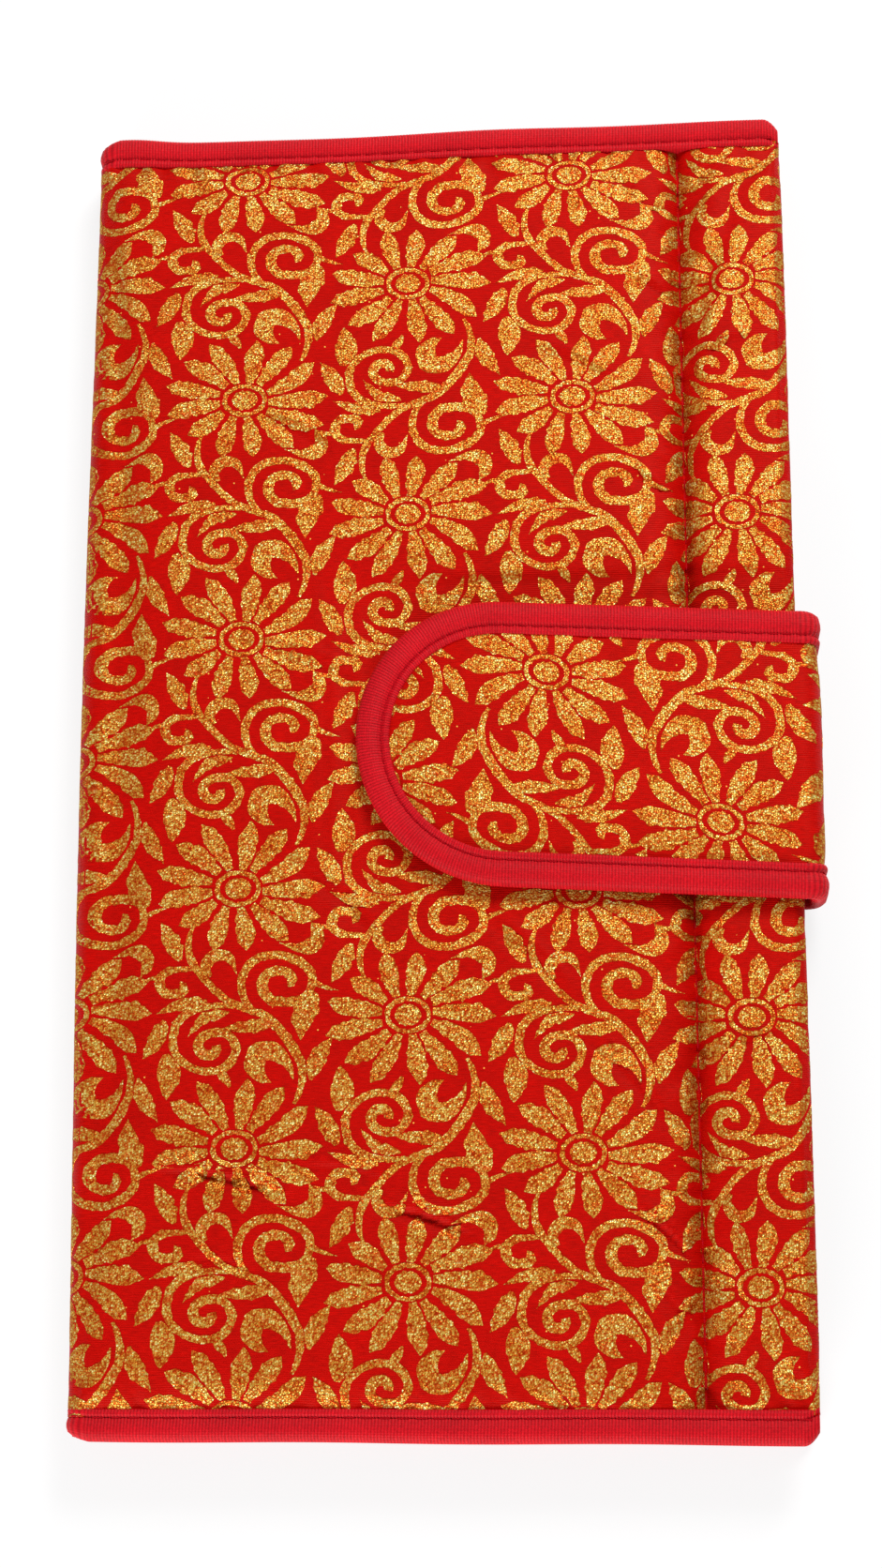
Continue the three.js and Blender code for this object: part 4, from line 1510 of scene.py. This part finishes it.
def lining_section():
    """The back lining from the middle of the spine down round the inner corner and along, over the edge of the hem."""
    level = COVER - 0.1
    on_hem = level + 0.5
    under_tape = node_box("back_upper_pocket")[1][0] + 0.5
    inner = SPINE_HIGH[0]
    bend = 2.0
    wall = [(inner, z) for z in np.linspace(CASE_HEIGHT / 2, level + bend, 4)[:-1]]
    turn = np.radians(np.linspace(180, 270, 8))[:-1]
    corner = [(inner + bend + bend * math.cos(t), level + bend + bend * math.sin(t)) for t in turn]
    flat = [(x, level) for x in np.linspace(inner + bend, HEM_END - 1.6, 64)]
    climb = [(HEM_END - 0.8, level + 0.1), (HEM_END - 0.1, on_hem - 0.1)]
    lapped = [(HEM_END + 0.6, on_hem), (under_tape, on_hem)]
    return np.array(wall + corner + flat + climb + lapped)


def make_lining(side):
    """Satin lining, stretched over the padding, with small gathers along its seams."""
    section = thicken(lining_section(), 2)
    reach = distances(section)
    half = TAPE_INNER + 0.4
    along = np.linspace(-half, half, 180)
    net = np.empty((len(along), len(section), 3))
    net[..., 0], net[..., 1], net[..., 2] = section[:, 0], along[:, None], section[:, 1]
    edge = half - np.abs(net[..., 1])
    flat = np.clip((net[..., 0] - SPINE_HIGH[0] - 2) / 6, 0, 1)
    gathers = 0.1 * np.sin(net[..., 0] * 1.4 + 2 * np.sin(net[..., 0] * 0.2)) * np.exp(-edge / 3)
    waves = 0.06 * np.sin(net[..., 0] * 0.21 + 0.4 * np.sin(net[..., 1] * 0.06)) * np.sin(net[..., 1] * 0.13)
    net[..., 2] += flat * (gathers + waves)
    gathered = Gathered()
    add_sheet(gathered, net, grid(reach, along[:, None]), SHEET)
    piece = gathered.inside(side).build(f"{side}_lining_cloth", "satin_lining")
    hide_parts(f"{side}_lining")
    bend_at_spine(piece)


def flat_tape(gathered, start, end, width, low, high, rib):
    """A flat ribbed tape between two points of the cover."""
    start, end = np.array(start, float), np.array(end, float)
    length = np.linalg.norm(end - start)
    ahead = (end - start) / length
    aside = np.array([-ahead[1], ahead[0]])
    steps = np.linspace(0, length, int(length / rib * 4))
    half = width / 2
    profile = np.array(
        [
            (half, low), (half, high - 0.55), (half - 0.3, high - 0.12), (half - 1.0, high), (0.4, high + 0.04),
            (-0.4, high + 0.04), (1.0 - half, high), (0.3 - half, high - 0.12), (-half, high - 0.55), (-half, low),
        ]
    )
    stand = np.where(profile[:, 1] > high - 0.3, 1.0, 0.0)
    rings = np.empty((len(steps), len(profile), 3))
    across = profile[:, 0] + 0.05 * np.sin(steps * 0.7)[:, None] * np.sign(profile[:, 0])
    rings[..., :2] = start + ahead * steps[:, None, None] + aside * across[..., None]
    rings[..., 2] = profile[:, 1] + 0.05 * np.cos(2 * math.pi * steps / rib)[:, None] * stand
    add_bar(gathered, rings, grid(steps[:, None] * sizes().rib / MM / rib, profile[:, 0]))


def sew_along(stitches, start, end, level, pitch):
    """A straight row of stitches on the cover."""
    start, end = np.array(start, float), np.array(end, float)
    length = np.linalg.norm(end - start)
    ahead = (end - start) / length
    middles = start + ahead * np.arange(pitch, length - pitch / 2, pitch)[:, None]
    forward = np.tile((*ahead, 0), (len(middles), 1))
    up = np.tile((0, 0, 1.0), (len(middles), 1))
    add_threads(stitches, at_level(middles, level), forward, up, 0.7 * pitch, THREAD)


def make_pocket_frame(side):
    """The tape that frames the three pockets, with a row of stitches near each edge."""
    low, high = node_box("back_pocket_tape")
    width = node_box("back_upper_zip_top")[0][0] - 0.3 - low[0]
    rib = 1.4 * sizes().rib / MM
    gathered, stitches = Gathered(), Gathered()
    pitch = sizes().stitch / MM
    for x in (low[0] + width / 2, high[0] - width / 2):
        flat_tape(gathered, (x, low[1]), (x, high[1]), width, low[2], high[2], rib)
        for step in (-0.32, 0.32):
            sew_along(stitches, (x + step * width, low[1]), (x + step * width, high[1]), high[2] + 0.02, pitch)
    for y in np.linspace(low[1] + width / 2, high[1] - width / 2, 4):
        flat_tape(gathered, (low[0] + width - 0.4, y), (high[0] - width + 0.4, y), width, low[2], high[2] - 0.1, rib)
        for step in (-0.32, 0.32):
            ends = (low[0] + width, y + step * width), (high[0] - width, y + step * width)
            sew_along(stitches, *ends, high[2] - 0.08, pitch)
    for part, name, look in ((gathered, "frame", "ribbed_tape"), (stitches, "frame_stitches", "sewing_thread")):
        piece = part.inside(side).build(f"{side}_pocket_{name}", look)
        if name == "frame":
            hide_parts(f"{side}_pocket_tape")
        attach(piece, f"{side}_cover")


def make_film(side, row):
    """Clear pocket film, a little slack between the tapes that hold it."""
    low, high = node_box(f"back_{row}_pocket")
    x = np.linspace(low[0], high[0], 70)
    y = np.linspace(low[1], high[1], 44)
    net = np.empty((len(y), len(x), 3))
    net[..., 0], net[..., 1] = x, y[:, None]
    u, v = (x - low[0]) / (high[0] - low[0]), ((y - low[1]) / (high[1] - low[1]))[:, None]
    slack = np.clip(np.minimum(np.minimum(u, 1 - u) * 12, np.minimum(v, 1 - v) * 8), 0, 1)
    turn = {"upper": 0.0, "middle": 1.3, "lower": 2.6}[row]
    waves = 0.22 * np.sin(9 * u + 3 * v + turn) * np.sin(5 * v + 2 * u + turn)
    belly = 0.2 * np.sin(math.pi * u) * np.sin(math.pi * v)
    net[..., 2] = high[2] + slack * (waves + belly)
    gathered = Gathered()
    add_sheet(gathered, net, net[..., :2], 0.3)
    piece = gathered.inside(side).build(f"{side}_{row}_film", "clear_film")
    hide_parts(f"{side}_{row}_pocket")
    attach(piece, f"{side}_cover")


def make_zip_half(side, row, half):
    """Woven zip tape and its row of coil teeth."""
    low, high = node_box(f"back_{row}_zip_{half}")
    inwards = -1 if half == "top" else 1
    teeth_edge = low[1] if half == "top" else high[1]
    far_edge = high[1] if half == "top" else low[1]
    middle = (low[2] + high[2]) / 2
    steps = np.linspace(low[0], high[0], 90)
    start = teeth_edge - inwards * 0.9
    across = np.linspace(start, far_edge, 16)
    net = np.empty((len(across), len(steps), 3))
    net[..., 0], net[..., 1] = steps, across[:, None]
    share = np.abs(across - start) / abs(far_edge - start)
    ripple = 0.06 * np.sin(steps * 0.35) * share[:, None]
    ridge = 0.1 * np.exp(-((share[:, None] - 0.2) ** 2) / 0.004)
    net[..., 2] = middle + 0.2 + ripple + ridge
    if half == "bottom":
        net = net[::-1]
    cloth = Gathered()
    add_sheet(cloth, net, net[..., :2], 0.4)
    coil = Gathered()
    pitch = 1.25
    middles = np.arange(low[0] + 0.6, high[0] - 0.3, pitch) + (0.5 * pitch if half == "top" else 0)
    at = np.stack([middles, np.full(len(middles), teeth_edge - inwards * 0.55), np.full(len(middles), middle)], -1)
    lean = np.array([0.16, 0.987, 0]) * (1, inwards, 1)
    add_threads(coil, at, np.tile(lean, (len(at), 1)), np.tile((0, 0, 1.0), (len(at), 1)), 2.3, 0.46)
    sewn = Gathered()
    line = teeth_edge - inwards * 1.6
    sew_along(sewn, (low[0] + 1, line), (high[0] - 1, line), middle + 0.5, 1.9)
    parts = (cloth, "cloth", "zip_cloth"), (coil, "teeth", "zip_coil"), (sewn, "sewing", "sewing_thread")
    for part, label, look in parts:
        piece = part.inside(side).build(f"{side}_{row}_zip_{half}_{label}", look)
        if label == "cloth":
            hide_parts(f"{side}_{row}_zip_{half}")
        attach(piece, f"{side}_cover")


def add_plate(gathered, outline, low, high, bevel):
    """A plate with softened edges from an outline that runs anticlockwise."""
    middle = outline.mean(0)
    away = outline - middle
    far = np.linalg.norm(away, axis=1, keepdims=True)
    inner = middle + away * (far - bevel) / far
    rings = []
    for level, edge in ((low, inner), (low + bevel * 0.7, outline), (high - bevel, outline), (high, inner)):
        rings.append(at_level(edge, level))
    add_bar(gathered, np.array(rings))


def rounded(wide, high, power=3.0, count=40):
    """A rounded outline about the origin."""
    turn = np.linspace(0, 2 * math.pi, count, endpoint=False)
    c, s = np.cos(turn), np.sin(turn)
    return np.stack([wide * np.sign(c) * np.abs(c) ** (2 / power), high * np.sign(s) * np.abs(s) ** (2 / power)], -1)


def add_loop(gathered, outline, level, width, tall):
    """A closed ring of metal strip along an outline at a level."""
    path = at_level(outline, level)
    flat = np.cross(ahead_of(path, closed=True), (0, 0, 1.0))
    turn = np.linspace(0, 2 * math.pi, 8, endpoint=False) + math.pi / 8
    rings = (
        path[:, None, :]
        + flat[:, None, :] * (np.cos(turn) * width / 1.85)[None, :, None]
        + np.array([0, 0, 1.0]) * (np.sin(turn) * tall / 1.85)[None, :, None]
    )
    add_bar(gathered, rings, closed_path=True)


def make_slider(side, row):
    """A brass slider: two shaped plates on a post, the bridge over them, and its pull."""
    low, high = node_box(f"back_{row}_slider")
    centre = (low + high) / 2
    half_x, half_y = (high[0] - low[0]) / 2, (high[1] - low[1]) / 2
    shape = rounded(half_x, half_y, 3.2)
    shape[:, 1] *= np.where(shape[:, 0] < 0, 1 - 0.22 * (shape[:, 0] / half_x) ** 2, 1.0)
    body = Gathered()
    add_plate(body, shape + centre[:2], low[2], low[2] + 0.45, 0.15)
    add_plate(body, shape + centre[:2], high[2] - 0.55, high[2], 0.25)
    add_plate(body, rounded(2.0, 0.4, 4) + centre[:2] + (-1.5, 0), low[2] + 0.2, high[2] - 0.2, 0.05)
    arch = np.linspace(0, math.pi, 15)
    rise = high[2] - 0.15 + 0.9 * np.sin(arch) ** 0.6
    line = np.stack([centre[0] - 3.1 * np.cos(arch), np.full(len(arch), centre[1]), rise], -1)
    out = np.cross(ahead_of(line), (0, 1.0, 0))
    turn = np.linspace(0, 2 * math.pi, 10, endpoint=False)
    wide = np.array([0, 0.75, 0]) * np.cos(turn)[None, :, None]
    thick = out[:, None] * (0.16 * np.sin(turn))[None, :, None]
    add_bar(body, line[:, None] + wide + thick)
    tag = Gathered()
    low, high = node_box(f"back_{row}_pull")
    centre = (low + high) / 2
    half_y = (high[1] - low[1]) / 2
    eye = rounded(2.6, half_y - 0.45, 2.6) + (low[0] + 2.7, centre[1])
    add_loop(tag, eye, centre[2], 0.8, high[2] - low[2])
    length = high[0] - low[0] - 4.6
    blade_middle = (high[0] - length / 2, centre[1])
    blade = rounded(length / 2, half_y, 3.6, 48)
    blade[:, 1] *= 1 - 0.18 * np.clip(-blade[:, 0] / length * 2, 0, 1)
    add_plate(tag, blade + blade_middle, low[2], high[2], 0.14)
    rim = rounded(length / 2 - 1.1, half_y - 0.75, 3.2) + blade_middle
    add_loop(tag, rim, high[2], 0.3, 0.22)
    for part, label in ((body, "slider"), (tag, "pull")):
        piece = part.inside(side).build(f"{side}_{row}_{label}_brass", "brass")
        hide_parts(f"{side}_{row}_{label}")
        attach(piece, f"{side}_{row}_runner")


class ORGANISER_OT_linings(bpy.types.Operator):
    """Line both covers and the inside of the spine with satin"""

    bl_idname = "organiser.linings"
    bl_label = "Linings"

    def execute(self, context):
        for side in SIDES:
            make_lining(side)
        return {"FINISHED"}


class ORGANISER_OT_pockets(bpy.types.Operator):
    """Sew the clear pockets with their tape frames and zips"""

    bl_idname = "organiser.pockets"
    bl_label = "Pockets and zips"

    def execute(self, context):
        for side in SIDES:
            make_pocket_frame(side)
            for row in ROWS:
                make_film(side, row)
                for half in ("top", "bottom"):
                    make_zip_half(side, row, half)
        return {"FINISHED"}


class ORGANISER_OT_sliders(bpy.types.Operator):
    """Put a brass slider and pull on each zip"""

    bl_idname = "organiser.sliders"
    bl_label = "Zip sliders"

    def execute(self, context):
        for side in SIDES:
            for row in ROWS:
                make_slider(side, row)
        return {"FINISHED"}


def nap_patch(name, node, place, low, high, tall, seed):
    """A napped patch that stands for a node: place puts flat points and heights on the cloth."""
    step, thickness = 0.6, 0.35
    random = np.random.default_rng(seed)
    x = np.arange(low[0], high[0] + 0.01, step)
    y = np.arange(low[1], high[1] + 0.01, step)
    flat = np.stack(np.meshgrid(x, y), -1)
    height = tall + random.uniform(-0.1, 0.12, flat.shape[:2])
    height[[0, -1], :] = tall - 0.15
    height[:, [0, -1]] = tall - 0.15
    net = place(flat.reshape(-1, 2), height.ravel()).reshape(*flat.shape[:2], 3)
    gathered = Gathered()
    add_sheet(gathered, net, flat, thickness)
    piece = gathered.build(name, "hook_and_loop")
    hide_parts(node)
    return piece


class ORGANISER_OT_fastening(bpy.types.Operator):
    """Sew the hook and loop patches that hold the tab shut"""

    bl_idname = "organiser.fastening"
    bl_label = "Hook and loop"

    def execute(self, context):
        hook_low, hook_high = node_box("hook_patch")
        half = (hook_high[1] - hook_low[1]) / 2 - 0.7
        low, high = node_box("loop_patch")
        middle = (low[1] + high[1]) / 2
        place, _, _ = on_net("front")
        corners = (low[0], middle - half), (high[0], middle + half)
        loop = nap_patch("loop_tape", "loop_patch", place, *corners, tall=0.4, seed=3)
        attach(loop, "front_cover")

        low, high = hook_low, hook_high
        corners = (low[0], -half), (high[0], half)
        hook = nap_patch("hook_tape", "hook_patch", on_tab_under, *corners, tall=0.45, seed=4)
        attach(hook, "tab")
        return {"FINISHED"}


# The stage


class ORGANISER_OT_stage(bpy.types.Operator):
    """Lay the floor, light the case softly and set the camera as the photograph was taken"""

    bl_idname = "organiser.stage"
    bl_label = "Stage"

    def execute(self, context):
        scene = context.scene
        mesh = bpy.data.meshes.new("floor")
        reach = 3.0
        corners = [(-reach, -reach, 0), (reach, -reach, 0), (reach, reach, 0), (-reach, reach, 0)]
        mesh.from_pydata(corners, [], [(0, 1, 2, 3)])
        floor = bpy.data.objects.new("floor", mesh)
        scene.collection.objects.link(floor)
        mesh.materials.append(self.floor_finish())
        self.light_world(scene)
        self.lamp("key_light", (0.35, 0.75, 0.8), 0.4, 12.3)
        self.lamp("fill_light", (-0.3, -0.95, 0.34), 0.5, 10.6)
        self.place_camera(scene)
        scene.view_settings.view_transform = "Standard"
        return {"FINISHED"}

    def seen_directly(self, tree):
        """1 for what is seen, also in a reflection or through the film, and 0 for light that falls on the case."""
        path = tree.nodes.new("ShaderNodeLightPath")
        share = path.outputs["Is Camera Ray"]
        for ray in ("Is Glossy Ray", "Is Transmission Ray"):
            most = tree.nodes.new("ShaderNodeMath")
            most.operation = "MAXIMUM"
            tree.links.new(share, most.inputs[0])
            tree.links.new(path.outputs[ray], most.inputs[1])
            share = most.outputs[0]
        return share

    def floor_finish(self):
        """A pale floor that keeps the case's shadow and turns white further away."""
        made = material("pale_floor", tuple(colours().floor), 0.9)
        tree, nodes, links, shader = wire(made)
        place = nodes.new("ShaderNodeNewGeometry")
        away = nodes.new("ShaderNodeVectorMath")
        away.operation = "LENGTH"
        links.new(place.outputs["Position"], away.inputs[0])
        fade = nodes.new("ShaderNodeMapRange")
        fade.interpolation_type = "SMOOTHSTEP"
        for socket, value in (("From Min", 0.25), ("From Max", 1.0), ("To Min", 0.8), ("To Max", 1.0)):
            fade.inputs[socket].default_value = value
        links.new(away.outputs["Value"], fade.inputs["Value"])
        glow = nodes.new("ShaderNodeEmission")
        glow.inputs["Strength"].default_value = 1.0
        mix = nodes.new("ShaderNodeMixShader")
        links.new(arithmetic(made, "MULTIPLY", self.seen_directly(tree), fade.outputs["Result"]), mix.inputs[0])
        links.new(shader.outputs[0], mix.inputs[1])
        links.new(glow.outputs[0], mix.inputs[2])
        links.new(mix.outputs[0], nodes["Material Output"].inputs["Surface"])
        return made

    def light_world(self, scene):
        """Soft light from all round, and a white background where it is seen itself."""
        world = bpy.data.worlds.new("studio")
        scene.world = world
        world.use_nodes = True
        tree = world.node_tree
        level = tree.nodes.new("ShaderNodeMapRange")
        level.inputs["To Min"].default_value = 0.38
        level.inputs["To Max"].default_value = 1.0
        tree.links.new(self.seen_directly(tree), level.inputs["Value"])
        back = tree.nodes["Background"]
        back.inputs["Color"].default_value = (1, 1, 1, 1)
        tree.links.new(level.outputs["Result"], back.inputs["Strength"])

    def lamp(self, name, place, size, power):
        """A square lamp that faces the case."""
        data = bpy.data.lights.new(name, "AREA")
        data.shape = "SQUARE"
        data.size = size
        data.energy = power
        lamp = bpy.data.objects.new(name, data)
        bpy.context.scene.collection.objects.link(lamp)
        lamp.location = place
        aim = -lamp.location.normalized()
        lamp.rotation_euler = aim.to_track_quat("-Z", "Y").to_euler()

    def place_camera(self, scene):
        """The camera as it was fitted to the photograph. Focal length, size and centre are in its pixels."""
        distance, focal = 584 * MM, 2987
        elevation, turn, roll = math.radians(75.96), math.radians(18.56), math.radians(-19.23)
        wide, high = 941, 1672
        centre_x, centre_y = 466, 800.5
        back = np.array(
            [math.sin(turn) * math.cos(elevation), -math.cos(turn) * math.cos(elevation), math.sin(elevation)]
        )
        right = unit(np.cross(-back, (0, 0, 1.0)))
        up = np.cross(right, -back)
        right, up = math.cos(roll) * right + math.sin(roll) * up, -math.sin(roll) * right + math.cos(roll) * up
        data = bpy.data.cameras.new("camera")
        data.sensor_fit = "VERTICAL"
        data.sensor_height = 36
        data.lens = 36 * focal / high
        data.shift_x = (wide / 2 - centre_x) / high
        data.shift_y = (centre_y - high / 2) / high
        data.clip_start = 0.01
        camera = bpy.data.objects.new("camera", data)
        scene.collection.objects.link(camera)
        place = np.array([0, 0, CASE_HEIGHT * MM]) + back * distance
        matrix = np.identity(4)
        matrix[:3, 0], matrix[:3, 1], matrix[:3, 2], matrix[:3, 3] = right, up, back, place
        camera.matrix_world = Matrix(matrix.tolist())
        scene.camera = camera


class ORGANISER_PT_panel(bpy.types.Panel):
    """Lists the steps that dress the organiser"""

    bl_label = "Jewellery organiser"
    bl_idname = "ORGANISER_PT_panel"
    bl_space_type = "VIEW_3D"
    bl_region_type = "UI"
    bl_category = "Organiser"

    def draw(self, context):
        layout = self.layout
        for group in (sizes(), colours()):
            for name in group.bl_rna.properties.keys():
                if name not in {"rna_type", "name"}:
                    layout.prop(group, name)
        for step in STEPS:
            layout.operator(step.bl_idname)


STEPS = (
    ORGANISER_OT_stage,
    ORGANISER_OT_covers,
    ORGANISER_OT_gold,
    ORGANISER_OT_edges,
    ORGANISER_OT_seams,
    ORGANISER_OT_linings,
    ORGANISER_OT_pockets,
    ORGANISER_OT_sliders,
    ORGANISER_OT_tab,
    ORGANISER_OT_fastening,
)
CLASSES = (OrganiserSizes, OrganiserColours, *STEPS, ORGANISER_PT_panel)


def register():
    for made in CLASSES:
        bpy.utils.register_class(made)
    bpy.types.Scene.organiser_sizes = bpy.props.PointerProperty(type=OrganiserSizes)
    bpy.types.Scene.organiser_colours = bpy.props.PointerProperty(type=OrganiserColours)


def unregister():
    del bpy.types.Scene.organiser_colours
    del bpy.types.Scene.organiser_sizes
    for made in reversed(CLASSES):
        bpy.utils.unregister_class(made)


def main():
    register()
    bpy.ops.organiser.stage()
    bpy.ops.organiser.covers()
    bpy.ops.organiser.gold()
    bpy.ops.organiser.edges()
    bpy.ops.organiser.seams()
    bpy.ops.organiser.linings()
    bpy.ops.organiser.pockets()
    bpy.ops.organiser.sliders()
    bpy.ops.organiser.tab()
    bpy.ops.organiser.fastening()


if __name__ == "__main__":
    main()
